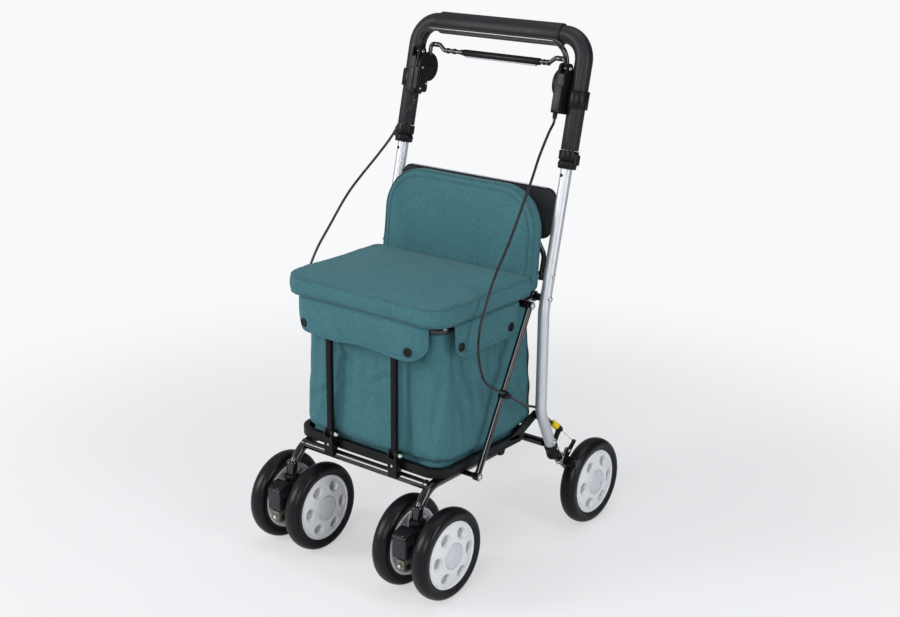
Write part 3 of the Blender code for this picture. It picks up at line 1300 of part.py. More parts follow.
def side_strut(name, side):
    """Straight tube from the seat frame's pin down to the chassis peg, with a clip for the cable."""
    x = side * STRUT_X
    top = Vector((x, *STRUT_TOP))
    foot = Vector((x, *STRUT_FOOT))
    strut = rod(f"side_strut_{name}", foot, top, STRUT_RADIUS, STRUTS)
    ends = []
    for label, point in (("top", STRUT_TOP), ("foot", STRUT_FOOT)):
        inner = (side * (STRUT_X - STRUT_RADIUS - EYE_PROUD), *point)
        outer = (side * (STRUT_X + STRUT_RADIUS + EYE_PROUD), *point)
        ends.append(rod(f"strut_{label}_eye_{name}", inner, outer, STRUT_EYE_RADIUS, STRUTS))
    inner = (side * (STRUT_X - STRUT_RADIUS - 0.002), *STRUT_TOP)
    outer = (side * (STRUT_X + STRUT_RADIUS - 0.002 + GAP), *STRUT_TOP)
    hole = rod(f"strut_hole_{name}", inner, outer, bored(STRUT_PIN_RADIUS), STRUTS)
    join(strut, *ends)
    finish(cut(strut, hole), "black_steel")

    along = (top - foot).normalized()
    centre = Vector((x, strut_point(CLIP_Z), CLIP_Z))
    bm = bmesh.new()
    bmesh.ops.create_cube(bm, size=1.0)
    bmesh.ops.scale(bm, vec=(CLIP_OUTER_X - CLIP_INNER_X, CLIP_WIDTH, CLIP_LENGTH), verts=bm.verts)
    turn = Matrix.Rotation(math.atan2(-along.y, along.z), 4, "X")
    middle = Vector((side * (CLIP_OUTER_X + CLIP_INNER_X) / 2, centre.y, centre.z))
    bmesh.ops.transform(bm, matrix=Matrix.Translation(middle) @ turn, verts=bm.verts)
    clip = place(f"cable_clip_{name}", to_mesh(f"cable_clip_{name}", bm), STRUTS)
    hole_ends = [centre - along * 0.03, centre + along * 0.03]
    strut_hole = rod(f"clip_strut_hole_{name}", *hole_ends, bored(STRUT_RADIUS), STRUTS)
    run = Vector(CABLE_CLIP_DIRECTION).normalized()
    cable_centre = Vector((side * CABLE_CLIP_X, centre.y, centre.z))
    cable_ends = [cable_centre - run * 0.02, cable_centre + run * 0.02]
    cable_hole = rod(f"clip_cable_hole_{name}", *cable_ends, bored(CABLE_RADIUS, 8), STRUTS, sides=8)
    finish(cut(clip, strut_hole, cable_hole), "plastic")


def rear_leg(name, side):
    """Black sleeve on the upright's foot, running on down to the axle, with the cable's stop."""
    x = side * UPRIGHT_X
    foot = Vector((x, *UPRIGHT_FOOT))
    down = (foot - Vector((x, *LOW_BEND))).normalized()
    axle = Vector((x, REAR_AXLE_Y, WHEEL_RADIUS))
    leg = rod(f"rear_leg_{name}", foot - down * SLEEVE_ABOVE, foot + down * SLEEVE_BELOW, SLEEVE_RADIUS, sides=16)
    arm = rod(f"leg_arm_{name}", foot + down * (SLEEVE_BELOW - 0.008), axle, LEG_RADIUS)
    eye_inner = side * (UPRIGHT_X - LEG_RADIUS)
    eye_outer = side * (REAR_WHEEL_X - TYRE_WIDTH / 2 - GAP)
    eye_ends = [(eye_inner, *axle.yz), (eye_outer, *axle.yz)]
    eye = rod(f"leg_eye_{name}", *eye_ends, LEG_EYE_RADIUS, sides=16)
    point = Vector((side * ADJUSTER_POINT[0], *ADJUSTER_POINT[1:]))
    run = Vector((side * ADJUSTER_DIRECTION[0], *ADJUSTER_DIRECTION[1:])).normalized()
    stop_start = point + run * (ADJUSTER_LENGTH / 2 + GAP)
    stop_end = stop_start + run * STOP_LENGTH
    stop = rod(f"cable_stop_{name}", stop_start, stop_end, STOP_RADIUS, sides=10)
    stalk = rod(f"stop_stalk_{name}", stop_end - run * 0.005, foot + down * 0.006, STOP_STALK_RADIUS, sides=8)
    socket_start = foot - down * (SLEEVE_ABOVE + 0.02)
    socket = rod(f"upright_socket_{name}", socket_start, foot + down * GAP, bored(UPRIGHT_RADIUS))
    bore_ends = [(eye_inner - side * 0.005, *axle.yz), (eye_outer + side * 0.005, *axle.yz)]
    bore = rod(f"leg_bore_{name}", *bore_ends, bored(AXLE_RADIUS))
    join(leg, arm, eye, stop, stalk)
    finish(cut(leg, socket, bore), "black_steel")

    adjuster_ends = [point - run * ADJUSTER_LENGTH / 2, point + run * ADJUSTER_LENGTH / 2]
    finish(rod(f"cable_adjuster_{name}", *adjuster_ends, ADJUSTER_RADIUS, sides=10), "yellow")

    head_end = side * (UPRIGHT_X - LEG_RADIUS - GAP)
    head_start = head_end - side * AXLE_HEAD_LENGTH
    axle_end = side * (REAR_WHEEL_X + HUB_BORE_END - 2 * GAP)
    shaft = rod(f"rear_axle_{name}", (head_start, *axle.yz), (axle_end, *axle.yz), AXLE_RADIUS)
    head = rod(f"axle_head_{name}", (head_start, *axle.yz), (head_end, *axle.yz), AXLE_HEAD_RADIUS, sides=6)
    finish(join(shaft, head), "zinc")
    wheel("rear", name, (side * REAR_WHEEL_X, REAR_AXLE_Y, WHEEL_RADIUS), side, None)


def rear_brake(name, side):
    """Bracket clamped round the leg, and the arm whose shoe presses on the tread."""
    x = side * UPRIGHT_X
    foot = Vector((x, *UPRIGHT_FOOT))
    down = (foot - Vector((x, *LOW_BEND))).normalized()
    start = foot + down * (SLEEVE_BELOW - 0.008)
    axle = Vector((x, REAR_AXLE_Y, WHEEL_RADIUS))
    along = (axle - start).normalized()
    middle = start + along * BRAKE_RING_AT
    half = along * BRAKE_RING_LENGTH / 2
    bracket = rod(f"brake_bracket_{name}", middle - half, middle + half, BRAKE_RING_RADIUS, sides=16)
    tab_outline = belt_outline([(middle.y, middle.z, 0.006), (*BRAKE_ARM_PIVOT, BRAKE_TAB_RADIUS)])
    tab_low, tab_high = sorted(side * edge for edge in BRAKE_TAB_X)
    tab = plate(f"brake_tab_{name}", tab_outline, tab_low, tab_high)
    pin_start = (side * (BRAKE_TAB_X[0] + 0.001), *BRAKE_ARM_PIVOT)
    pin_end = (side * (BRAKE_TAB_X[1] + GAP + BRAKE_ARM_THICKNESS), *BRAKE_ARM_PIVOT)
    pin = rod(f"brake_pin_{name}", pin_start, pin_end, BRAKE_PIN_RADIUS, sides=PIN_SIDES)
    hole = rod(f"brake_ring_hole_{name}", middle - half * 3, middle + half * 3, bored(LEG_RADIUS, 16), sides=16)
    join(bracket, tab, pin)
    finish(cut(bracket, hole), "zinc")

    arm_pivot = pivot(f"brake_arm_{name}_pivot", (0, *BRAKE_ARM_PIVOT))
    centre_radius = WHEEL_RADIUS + SHOE_GAP + SHOE_THICKNESS / 2
    shoe_y = REAR_AXLE_Y + centre_radius * math.cos(SHOE_ANGLE)
    shoe_z = WHEEL_RADIUS + centre_radius * math.sin(SHOE_ANGLE)
    arm_near = BRAKE_TAB_X[1] + GAP
    arm_far = arm_near + BRAKE_ARM_THICKNESS
    arm_x = sorted((side * arm_near, side * arm_far))
    to_shoe = belt_outline([(*BRAKE_ARM_PIVOT, BRAKE_TAB_RADIUS), (shoe_y, shoe_z, SHOE_THICKNESS / 2 - 0.0002)])
    to_tip = belt_outline([(*BRAKE_ARM_PIVOT, BRAKE_TAB_RADIUS - 0.0005), (*BRAKE_LEVER_TIP, 0.0035)])
    arm = plate(f"brake_arm_{name}", to_shoe, *arm_x, arm_pivot)
    lever = plate(f"brake_lever_{name}", to_tip, arm_x[0] + 0.0005, arm_x[1] - 0.0005, arm_pivot)
    bm = bmesh.new()
    bmesh.ops.create_cube(bm, size=1.0)
    shoe_outer = REAR_WHEEL_X + TYRE_WIDTH / 2 - SHOE_INSET
    shoe_inner = arm_far - 0.002
    bmesh.ops.scale(bm, vec=(shoe_outer - shoe_inner, SHOE_LENGTH, SHOE_THICKNESS), verts=bm.verts)
    turn = Matrix.Rotation(SHOE_ANGLE - math.pi / 2, 4, "X")
    shoe_centre = Vector((side * (shoe_outer + shoe_inner) / 2, shoe_y, shoe_z))
    bmesh.ops.transform(bm, matrix=Matrix.Translation(shoe_centre) @ turn, verts=bm.verts)
    shoe = place(f"brake_shoe_{name}", to_mesh(f"brake_shoe_{name}", bm), arm_pivot)
    ends = [(side * (arm_near - 0.002), *BRAKE_ARM_PIVOT), (side * (arm_far + 0.002), *BRAKE_ARM_PIVOT)]
    bore = rod(f"brake_arm_bore_{name}", *ends, bored(BRAKE_PIN_RADIUS, PIN_SIDES), arm_pivot, sides=PIN_SIDES)
    join(arm, lever, shoe)
    finish(cut(arm, bore), "black_steel")


def rear_crossbar():
    end = UPRIGHT_X - SLEEVE_RADIUS - GAP
    ends = [(-end, *CROSSBAR_POINT), (end, *CROSSBAR_POINT)]
    finish(rod("rear_crossbar", *ends, CROSSBAR_RADIUS), "black_steel")


def bag():
    """Shopping bag: an open-topped shell on the tray floor, filled out to the rear above the tray."""
    low = Vector((-BAG_HALF, BAG_FRONT, TRAY_FLOOR_TOP + GAP))
    high = Vector((BAG_HALF, BAG_REAR, SEAT_Z - SEAT_EYE_RADIUS - GAP))
    shell = box("bag", low, high, corner=BAG_CORNER, segments=4)
    bm = bmesh.new()
    bm.from_mesh(shell.data)
    foot_top = TRAY_TOP + 5 * GAP
    for height in (foot_top, foot_top + BAG_BULGE_HEIGHT):
        every = [*bm.verts, *bm.edges, *bm.faces]
        bmesh.ops.bisect_plane(bm, geom=every, plane_co=(0, 0, height), plane_no=(0, 0, 1))
    for vert in bm.verts:
        if vert.co.z < foot_top + GAP and vert.co.y > BAG_REAR - BAG_CORNER - GAP:
            vert.co.y -= BAG_REAR - BAG_FOOT_REAR
    lids = [face for face in bm.faces if face.normal.z > 0.9 and face.calc_center_median().z > foot_top]
    bmesh.ops.delete(bm, geom=lids, context="FACES_ONLY")
    bm.to_mesh(shell.data)
    bm.free()
    wall = shell.modifiers.new("wall", "SOLIDIFY")
    wall.thickness = BAG_WALL
    wall.offset = -1.0
    finish(shell, "fabric")


def smooth_route(points, step):
    """Even points along a Catmull-Rom curve through the given points."""
    points = [Vector(p) for p in points]
    padded = [2 * points[0] - points[1], *points, 2 * points[-1] - points[-2]]
    fine = []
    for p0, p1, p2, p3 in zip(padded, padded[1:], padded[2:], padded[3:]):
        for index in range(24):
            t = index / 24
            fine.append(
                0.5 * (2 * p1 + (p2 - p0) * t + (2 * p0 - 5 * p1 + 4 * p2 - p3) * t ** 2
                       + (3 * p1 - p0 - 3 * p2 + p3) * t ** 3)
            )
    fine.append(points[-1])
    length = sum((b - a).length for a, b in zip(fine, fine[1:]))
    count = max(2, round(length / step))
    route = [fine[0]]
    walked = 0.0
    for a, b in zip(fine, fine[1:]):
        run = (b - a).length
        while len(route) < count and walked + run >= len(route) * length / count:
            share = (len(route) * length / count - walked) / run
            route.append(a.lerp(b, share))
        walked += run
    route.append(fine[-1])
    return route, length


def brake_cable(name, side, upper):
    """Brake cable along its whole route: ferrule, over the seat's side, clip, adjuster."""
    start = leaning_to_world(FERRULE_X, FERRULE_DEPTH, HOUSING_FOOT - FERRULE_LENGTH - GAP)
    leave = leaning_to_world(FERRULE_X, FERRULE_DEPTH, HOUSING_FOOT - FERRULE_LENGTH - 0.008)
    clip = Vector((CABLE_CLIP_X, strut_point(CLIP_Z), CLIP_Z))
    run = Vector(CABLE_CLIP_DIRECTION).normalized() * (CLIP_WIDTH / 2 + 0.004)
    end_run = Vector(ADJUSTER_DIRECTION).normalized()
    across = Vector((UPRIGHT_X, 0, 0))
    upper_points, middle_points, lower_points = (
        [across + Vector(point) for point in points] for points in (upper, CABLE_MIDDLE, CABLE_LOWER)
    )
    end = Vector(ADJUSTER_POINT) - end_run * (ADJUSTER_LENGTH / 2 + GAP)
    before_end = end - end_run * 0.010
    above, length_above = smooth_route([leave, *upper_points, *middle_points, clip - run], CABLE_STEP)
    below, length_below = smooth_route([clip + run, *lower_points, before_end], CABLE_STEP)
    straight = (leave - start).length + 2 * run.length + (end - before_end).length
    length = length_above + length_below + straight
    route = [(side * p[0], p[1], p[2]) for p in [start, *above, *below, end]]
    finish(tube(f"brake_cable_{name}", route, CABLE_RADIUS, None, THIN_RESOLUTION), "cable")
    print(f"brake_cable_{name}: {length:.4f} m in {len(route)} points")


handle()
brake_bar()
parking_bar()
seat_frame()
seat_board()
seat_cushion()
backrest_pad()
backrest_frame()
rear_panel()
tray_rim()
tray_floor()
chassis_frame()
rear_crossbar()
bag()
for side_name, side_sign in SIDES:
    upright(side_name, side_sign)
    collar(side_name, side_sign)
    brake_housing(side_name, side_sign)
    bar_bracket(side_name, side_sign)
    front_bar(side_name, side_sign)
    caster(side_name, side_sign)
    side_strut(side_name, side_sign)
    rear_leg(side_name, side_sign)
    rear_brake(side_name, side_sign)
brake_cable("left", 1, CABLE_LEFT_UPPER)
brake_cable("right", -1, CABLE_RIGHT_UPPER)
bpy.context.view_layer.update()
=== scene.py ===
import math

import bmesh
import bpy
from mathutils import Matrix, Vector, noise
from mathutils.bvhtree import BVHTree
from mathutils.kdtree import KDTree

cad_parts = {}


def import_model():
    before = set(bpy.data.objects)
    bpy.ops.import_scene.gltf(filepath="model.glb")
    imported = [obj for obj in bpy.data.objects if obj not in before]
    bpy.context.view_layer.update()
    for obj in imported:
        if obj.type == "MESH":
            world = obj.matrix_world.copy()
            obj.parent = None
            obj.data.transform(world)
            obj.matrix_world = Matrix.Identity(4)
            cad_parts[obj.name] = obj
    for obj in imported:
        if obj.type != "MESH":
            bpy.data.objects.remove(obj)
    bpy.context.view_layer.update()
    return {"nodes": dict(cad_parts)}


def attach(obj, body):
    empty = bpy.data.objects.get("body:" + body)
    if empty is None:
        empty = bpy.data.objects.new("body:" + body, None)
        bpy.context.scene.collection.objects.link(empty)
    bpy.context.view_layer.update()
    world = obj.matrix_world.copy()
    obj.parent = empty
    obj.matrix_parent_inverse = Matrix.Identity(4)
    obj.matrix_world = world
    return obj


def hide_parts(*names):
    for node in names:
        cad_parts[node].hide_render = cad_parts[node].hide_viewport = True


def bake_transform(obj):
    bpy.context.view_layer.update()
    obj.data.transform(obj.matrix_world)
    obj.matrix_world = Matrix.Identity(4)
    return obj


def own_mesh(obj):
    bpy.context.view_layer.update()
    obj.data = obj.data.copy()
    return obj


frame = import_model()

SIDES = (("left", 1), ("right", -1))
SCENE = bpy.context.scene

# The uprights' leaning frame: X, depth rearward, distance up from the seat bend
LEAN = math.radians(13.64)
LEANING = Matrix.Translation((0, 0.0827, 0.475)) @ Matrix.Rotation(-LEAN, 4, "X")

# The camera that fits the photo: 900 pixels wide, with the focal length in the same pixels
PHOTO_WIDTH, FOCAL_LENGTH = 900, 1465.636
camera_data = bpy.data.cameras.new("camera")
camera_data.sensor_width = 36.0
camera_data.lens = 36.0 * FOCAL_LENGTH / PHOTO_WIDTH
camera_data.clip_start = 0.05
camera_data.clip_end = 60
camera = bpy.data.objects.new("camera", camera_data)
SCENE.collection.objects.link(camera)
right = Vector((0.77929, 0.62666, 0.00182)).normalized()
up = Vector((-0.19652, 0.24162, 0.95026))
up = (up - right * up.dot(right)).normalized()
back = right.cross(up)
turn = Matrix((right, up, back)).transposed()
camera.matrix_world = Matrix.Translation((1.70849, -2.07836, 1.34109)) @ turn.to_4x4()
SCENE.camera = camera
SCENE.view_settings.view_transform = "Standard"
BACKDROP = (0.945, 0.948, 0.96, 1)


def linked(name, data):
    """New object of the data, in the scene."""
    obj = bpy.data.objects.new(name, data)
    SCENE.collection.objects.link(obj)
    return obj


def mesh_of(bm, name="mesh"):
    """Mesh data of an edit mesh, which is freed."""
    mesh = bpy.data.meshes.new(name)
    bm.to_mesh(mesh)
    bm.free()
    return mesh


def new_nodes(owner):
    """Empty node tree of a material or a world."""
    owner.use_nodes = True
    tree = owner.node_tree
    tree.nodes.clear()
    return tree


def node(tree, kind, inputs=(), **settings):
    """New node with its settings and the inputs that are numbers or links."""
    made = tree.nodes.new(kind)
    for key, value in settings.items():
        setattr(made, key, value)
    for key, value in dict(inputs).items():
        if isinstance(value, bpy.types.NodeSocket):
            tree.links.new(value, made.inputs[key])
        else:
            made.inputs[key].default_value = value
    return made


def world():
    """Even studio light: white to the camera, softer and a little directional to everything else."""
    SCENE.world = bpy.data.worlds.new("studio")
    tree = new_nodes(SCENE.world)
    path = node(tree, "ShaderNodeLightPath")
    place = node(tree, "ShaderNodeTexCoord")
    across = node(tree, "ShaderNodeVectorMath", {0: place.outputs["Generated"], 1: (-0.66, -0.6, 0.44)},
                  operation="DOT_PRODUCT")
    level = node(tree, "ShaderNodeMapRange", {"Value": across.outputs["Value"], "From Min": -0.7, "From Max": 0.9,
                                              "To Min": 0.06, "To Max": 0.47})
    shade = node(tree, "ShaderNodeBackground", {"Color": (0.955, 0.975, 1.0, 1), "Strength": level.outputs[0]})
    white = node(tree, "ShaderNodeBackground", {"Color": BACKDROP, "Strength": 1.0})
    mix = node(tree, "ShaderNodeMixShader", {0: path.outputs["Is Camera Ray"], 1: shade.outputs[0],
                                             2: white.outputs[0]})
    node(tree, "ShaderNodeOutputWorld", {"Surface": mix.outputs[0]})


def floor():
    """Pale matt floor that fades into the white background away from the object."""
    bm = bmesh.new()
    bmesh.ops.create_grid(bm, x_segments=1, y_segments=1, size=14)
    obj = linked("floor", mesh_of(bm, "floor"))
    material = bpy.data.materials.new("floor")
    tree = new_nodes(material)
    place = node(tree, "ShaderNodeTexCoord")
    path = node(tree, "ShaderNodeLightPath")
    patches = node(tree, "ShaderNodeTexNoise", {"Vector": place.outputs["Object"], "Scale": 2.2, "Detail": 2.0})
    pale = node(tree, "ShaderNodeMix", {0: patches.outputs["Fac"], 6: (0.83, 0.845, 0.87, 1), 7: (0.87, 0.88, 0.9, 1)},
                data_type="RGBA")
    paint = node(tree, "ShaderNodeBsdfPrincipled", {"Base Color": pale.outputs[2], "Roughness": 0.6,
                                                    "Specular IOR Level": 0.0})
    distance = node(tree, "ShaderNodeVectorMath", {0: place.outputs["Object"]}, operation="LENGTH")
    far = node(tree, "ShaderNodeMapRange", {"Value": distance.outputs["Value"], "From Min": 0.45, "From Max": 1.8,
                                            "To Min": 0.53}, interpolation_type="SMOOTHERSTEP")
    seen = node(tree, "ShaderNodeMath", {0: far.outputs[0], 1: path.outputs["Is Camera Ray"]}, operation="MULTIPLY")
    white = node(tree, "ShaderNodeEmission", {"Color": BACKDROP, "Strength": 1.0})
    mix = node(tree, "ShaderNodeMixShader", {0: seen.outputs[0], 1: paint.outputs[0], 2: white.outputs[0]})
    node(tree, "ShaderNodeOutputMaterial", {"Surface": mix.outputs[0]})
    obj.data.materials.append(material)


def lamp(name, place, aim, size, power, colour=(1, 1, 1)):
    """Rectangular lamp that looks at a point."""
    data = bpy.data.lights.new(name, "AREA")
    data.shape = "RECTANGLE"
    data.size, data.size_y = size
    data.energy = power
    data.color = colour
    obj = linked(name, data)
    obj.location = place
    obj.rotation_euler = (Vector(aim) - Vector(place)).to_track_quat("-Z", "Y").to_euler()


world()
floor()
lamp("key", (-1.9, -2.5, 1.75), (0, 0, 0.45), (0.9, 1.5), 48, (1.0, 0.995, 0.985))
lamp("front", (1.3, -3.0, 2.0), (0, 0, 0.45), (1.3, 1.3), 34)
lamp("top", (0.2, 0.2, 2.6), (0, 0, 0.4), (1.8, 1.8), 12)
lamp("side", (2.4, -0.2, 1.3), (0, 0, 0.45), (0.6, 1.8), 22, (0.97, 0.985, 1.0))


# Materials
def surface(name, colour, rough, metallic=0.0, vary=0.12, vary_scale=30.0, grain=700.0, bump=0.08, depth=0.0004,
            rough_spread=0.08, spec=0.5, coat=0.0, coat_rough=0.1, stretch=(1, 1, 1), second=None):
    """Moulded, painted or drawn surface: tone and gloss vary in soft patches, over a fine grain."""
    material = bpy.data.materials.new(name)
    material.diffuse_color = (*colour, 1)
    tree = new_nodes(material)
    place = node(tree, "ShaderNodeTexCoord")
    spread = node(tree, "ShaderNodeMapping", {"Vector": place.outputs["Object"], "Scale": stretch})
    patches = node(tree, "ShaderNodeTexNoise", {"Vector": spread.outputs[0], "Scale": vary_scale, "Detail": 5.0,
                                                "Roughness": 0.6})
    fine = node(tree, "ShaderNodeTexNoise", {"Vector": spread.outputs[0], "Scale": grain, "Detail": 3.0})
    low = tuple(c * (1 - vary) for c in colour)
    high = tuple(min(1.0, c * (1 + vary)) for c in (second or colour))
    tone = node(tree, "ShaderNodeMix", {0: patches.outputs["Fac"], 6: (*low, 1), 7: (*high, 1)}, data_type="RGBA")
    gloss = node(tree, "ShaderNodeMapRange", {"Value": patches.outputs["Fac"], "From Min": 0.3, "From Max": 0.7,
                                              "To Min": max(0.02, rough - rough_spread),
                                              "To Max": min(1.0, rough + rough_spread)})
    relief = node(tree, "ShaderNodeBump", {"Height": fine.outputs["Fac"], "Strength": bump, "Distance": depth})
    shader = node(tree, "ShaderNodeBsdfPrincipled", {
        "Base Color": tone.outputs[2], "Roughness": gloss.outputs[0], "Metallic": metallic,
        "Normal": relief.outputs[0], "Specular IOR Level": spec, "Coat Weight": coat, "Coat Roughness": coat_rough})
    node(tree, "ShaderNodeOutputMaterial", {"Surface": shader.outputs[0]})
    return material


def woven(name, colour, dark, thread=0.0011, bump=0.35, sheen=0.25):
    """Plain-woven cloth: threads cross on every face, with slubs and fine mottling in the dye, and broad soft patches
    of painted shade that stand in for soft folds.
    """
    material = bpy.data.materials.new(name)
    material.diffuse_color = (*colour, 1)
    tree = new_nodes(material)
    place = node(tree, "ShaderNodeTexCoord")
    axes = node(tree, "ShaderNodeSeparateXYZ", {0: place.outputs["Object"]})
    facing = node(tree, "ShaderNodeSeparateXYZ", {0: place.outputs["Normal"]})

    def maths(kind, a, b=0.0):
        return node(tree, "ShaderNodeMath", {0: a, 1: b}, operation=kind).outputs[0]

    def added(values):
        total = values[0]
        for value in values[1:]:
            total = maths("ADD", total, value)
        return total

    waves = [maths("SINE", maths("MULTIPLY", axes.outputs[i], 2 * math.pi / thread)) for i in range(3)]
    weights = [maths("POWER", maths("ABSOLUTE", facing.outputs[i]), 3.0) for i in range(3)]
    total = added(weights)
    woven_sum = added([maths("MULTIPLY", maths("MULTIPLY", waves[(i + 1) % 3], waves[(i + 2) % 3]),
                             maths("DIVIDE", weights[i], total)) for i in range(3)])
    slubs = []
    for stretch in ((40, 900, 900), (900, 900, 40), (900, 40, 900)):
        spread = node(tree, "ShaderNodeMapping", {"Vector": place.outputs["Object"], "Scale": stretch})
        slubs.append(node(tree, "ShaderNodeTexNoise", {"Vector": spread.outputs[0], "Scale": 1.0,
                                                       "Detail": 2.0}).outputs["Fac"])
    heather = maths("MULTIPLY", added(slubs), 1 / 3)
    shades = [(heather, 3.2)]
    # The fine noise is mottling in the dye; the broad one is painted shade of soft folds
    for scale, detail, strength in ((190.0, 4.0, 1.5), (11.0, 3.0, 0.7)):
        shades.append((node(tree, "ShaderNodeTexNoise", {"Vector": place.outputs["Object"], "Scale": scale,
                                                         "Detail": detail}).outputs["Fac"], strength))
    blend = added([maths("MULTIPLY", maths("SUBTRACT", value, 0.5), strength) for value, strength in shades]
                  + [maths("MULTIPLY", woven_sum, 0.22)])
    mixed = node(tree, "ShaderNodeMapRange", {"Value": blend, "From Min": -1.0, "From Max": 1.0})
    tone = node(tree, "ShaderNodeMix", {0: mixed.outputs[0], 6: (*dark, 1), 7: (*colour, 1)}, data_type="RGBA")
    height = maths("ADD", maths("MULTIPLY", woven_sum, 0.5), heather)
    relief = node(tree, "ShaderNodeBump", {"Height": height, "Strength": bump, "Distance": 0.0004})
    shader = node(tree, "ShaderNodeBsdfPrincipled", {
        "Base Color": tone.outputs[2], "Roughness": 0.82, "Normal": relief.outputs[0], "Sheen Weight": sheen,
        "Sheen Roughness": 0.45, "Sheen Tint": (0.75, 0.9, 0.95, 1), "Specular IOR Level": 0.25})
    node(tree, "ShaderNodeOutputMaterial", {"Surface": shader.outputs[0]})
    return material


# Light grey strips; the one on the rear panel's top edge is a painted highlight
LIGHT_GREY_STRIP = surface("light_grey_strip", (0.42, 0.44, 0.47), 0.38, vary=0.1, vary_scale=60, grain=900, bump=0.08)
RUBBER = surface("rubber", (0.0055, 0.0055, 0.007), 0.33, vary=0.25, vary_scale=26, grain=900, bump=0.08,
                 depth=0.0003, rough_spread=0.05, spec=0.24)
HUB = surface("hub_plastic", (0.8, 0.81, 0.83), 0.3, vary=0.035, vary_scale=18, grain=1400, bump=0.03,
              rough_spread=0.05, spec=0.45)
# Hub recesses: the hub's plastic painted darker, as painted shade in the hollows
HUB_WELL_PAINTED_SHADE = surface("hub_well_painted_shade", (0.44, 0.445, 0.465), 0.42, vary=0.08, vary_scale=60, grain=1400, bump=0.05)
HUB_CAP = surface("hub_cap_plastic", (0.64, 0.655, 0.69), 0.28, vary=0.04, vary_scale=40, grain=1200, bump=0.03,
                  rough_spread=0.05, spec=0.5)
ALUMINIUM = surface("satin_aluminium", (0.66, 0.675, 0.71), 0.46, metallic=0.85, vary=0.05, vary_scale=8,
                    grain=60, bump=0.03, depth=0.0002, rough_spread=0.05, stretch=(30, 30, 1))
FOAM = surface("foam_grip", (0.012, 0.012, 0.015), 0.46, vary=0.18, vary_scale=60, grain=1500, bump=0.3,
               depth=0.0004, rough_spread=0.06, spec=0.32)
PLASTIC = surface("black_plastic", (0.0055, 0.0055, 0.007), 0.36, vary=0.2, vary_scale=50, grain=1800, bump=0.12,
                  depth=0.0002, rough_spread=0.07, spec=0.2)
ENAMEL = surface("black_enamel", (0.0035, 0.0035, 0.0045), 0.15, vary=0.2, vary_scale=25, grain=260, bump=0.004,
                 depth=0.0002, rough_spread=0.04, spec=0.5, coat=0.5, coat_rough=0.05)
BARE = surface("bare_steel", (0.15, 0.13, 0.11), 0.36, metallic=0.9, vary=0.45, vary_scale=70, grain=500, bump=0.15,
               depth=0.0003, rough_spread=0.12, second=(0.26, 0.23, 0.19))
ZINC = surface("zinc", (0.66, 0.665, 0.67), 0.24, metallic=1.0, vary=0.12, vary_scale=120, grain=500, bump=0.05,
               rough_spread=0.08)
POWDER = surface("black_powder_coat", (0.0055, 0.0055, 0.0065), 0.33, vary=0.2, vary_scale=60, grain=1300, bump=0.16,
                 depth=0.0002, rough_spread=0.06, spec=0.14)
SATIN = surface("satin_black_steel", (0.022, 0.022, 0.029), 0.34, metallic=0.25, vary=0.22, vary_scale=45, grain=900,
                bump=0.1, depth=0.0002, rough_spread=0.08, spec=0.5)
BOARD = surface("board_plastic", (0.017, 0.017, 0.019), 0.6, vary=0.2, vary_scale=40, grain=1100, bump=0.3,
                depth=0.0003)
CABLE = surface("cable_sheath", (0.005, 0.005, 0.006), 0.32, vary=0.2, vary_scale=40, grain=300, bump=0.06,
                depth=0.0002, spec=0.5)
YELLOW = surface("yellow_plastic", (0.95, 0.68, 0.01), 0.38, vary=0.12, vary_scale=160, grain=900, bump=0.08,
                 depth=0.0002)
CLOTH = woven("teal_cloth", (0.068, 0.205, 0.238), (0.031, 0.106, 0.126), sheen=0.07)
PIPING = woven("teal_piping", (0.052, 0.142, 0.16), (0.028, 0.082, 0.095), thread=0.0008, bump=0.2)
THREAD = woven("teal_thread", (0.06, 0.165, 0.185), (0.03, 0.09, 0.105), thread=0.0005, bump=0.2)
BOARD_CLOTH = woven("black_cloth", (0.028, 0.029, 0.034), (0.012, 0.012, 0.015), thread=0.0009, bump=0.3, sheen=0.1)
WEBBING = woven("black_binding", (0.02, 0.021, 0.024), (0.008, 0.008, 0.01), thread=0.0014, bump=0.5, sheen=0.05)


# Mesh tools
X_AXIS = Vector((1, 0, 0))


def mm(*numbers):
    """Points from numbers in millimetres, two for each."""
    return [(a / 1000, b / 1000) for a, b in zip(numbers[::2], numbers[1::2])]


def pour(bm, into):
    """Move a mesh into another one."""
    mesh = mesh_of(bm)
    into.from_mesh(mesh)
    bpy.data.meshes.remove(mesh)


def bridge(bm, first, second):
    """Faces between two rings of points."""
    for i in range(len(first)):
        j = (i + 1) % len(first)
        bm.faces.new((first[i], first[j], second[j], second[i]))


class Part:
    """Solids gathered into one mesh that has several materials, and the place of those that are given none."""

    def __init__(self, place=None):
        self.bm = bmesh.new()
        self.materials = []
        self.place = place

    def add(self, bm, material, matrix=None):
        """Take in a solid, moved by the matrix or else to the part's place."""
        if material not in self.materials:
            self.materials.append(material)
        matrix = matrix or self.place
        if matrix:
            bmesh.ops.transform(bm, matrix=matrix, verts=bm.verts)
        first = len(self.bm.faces)
        pour(bm, self.bm)
        self.bm.faces.ensure_lookup_table()
        for face in self.bm.faces[first:]:
            face.material_index = self.materials.index(material)

    def screw(self, radius, height, spot, way, material=None):
        """Take in a button-head screw that looks a way; zinc unless told otherwise."""
        self.add(dome_head(radius, height), material or ZINC, along(spot, way))

    def done(self, name, body, *nodes, angle=40, slot=None):
        """Object of the gathered solids, riding on a body in the place of CAD nodes."""
        bmesh.ops.recalc_face_normals(self.bm, faces=self.bm.faces)
        mesh = mesh_of(self.bm, name)
        for material in self.materials:
            mesh.materials.append(material)
        mesh.shade_smooth()
        mesh.set_sharp_from_angle(angle=math.radians(angle))
        obj = linked(name, mesh)
        if body:
            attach(obj, body)
        if nodes:
            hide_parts(*nodes)
        return obj


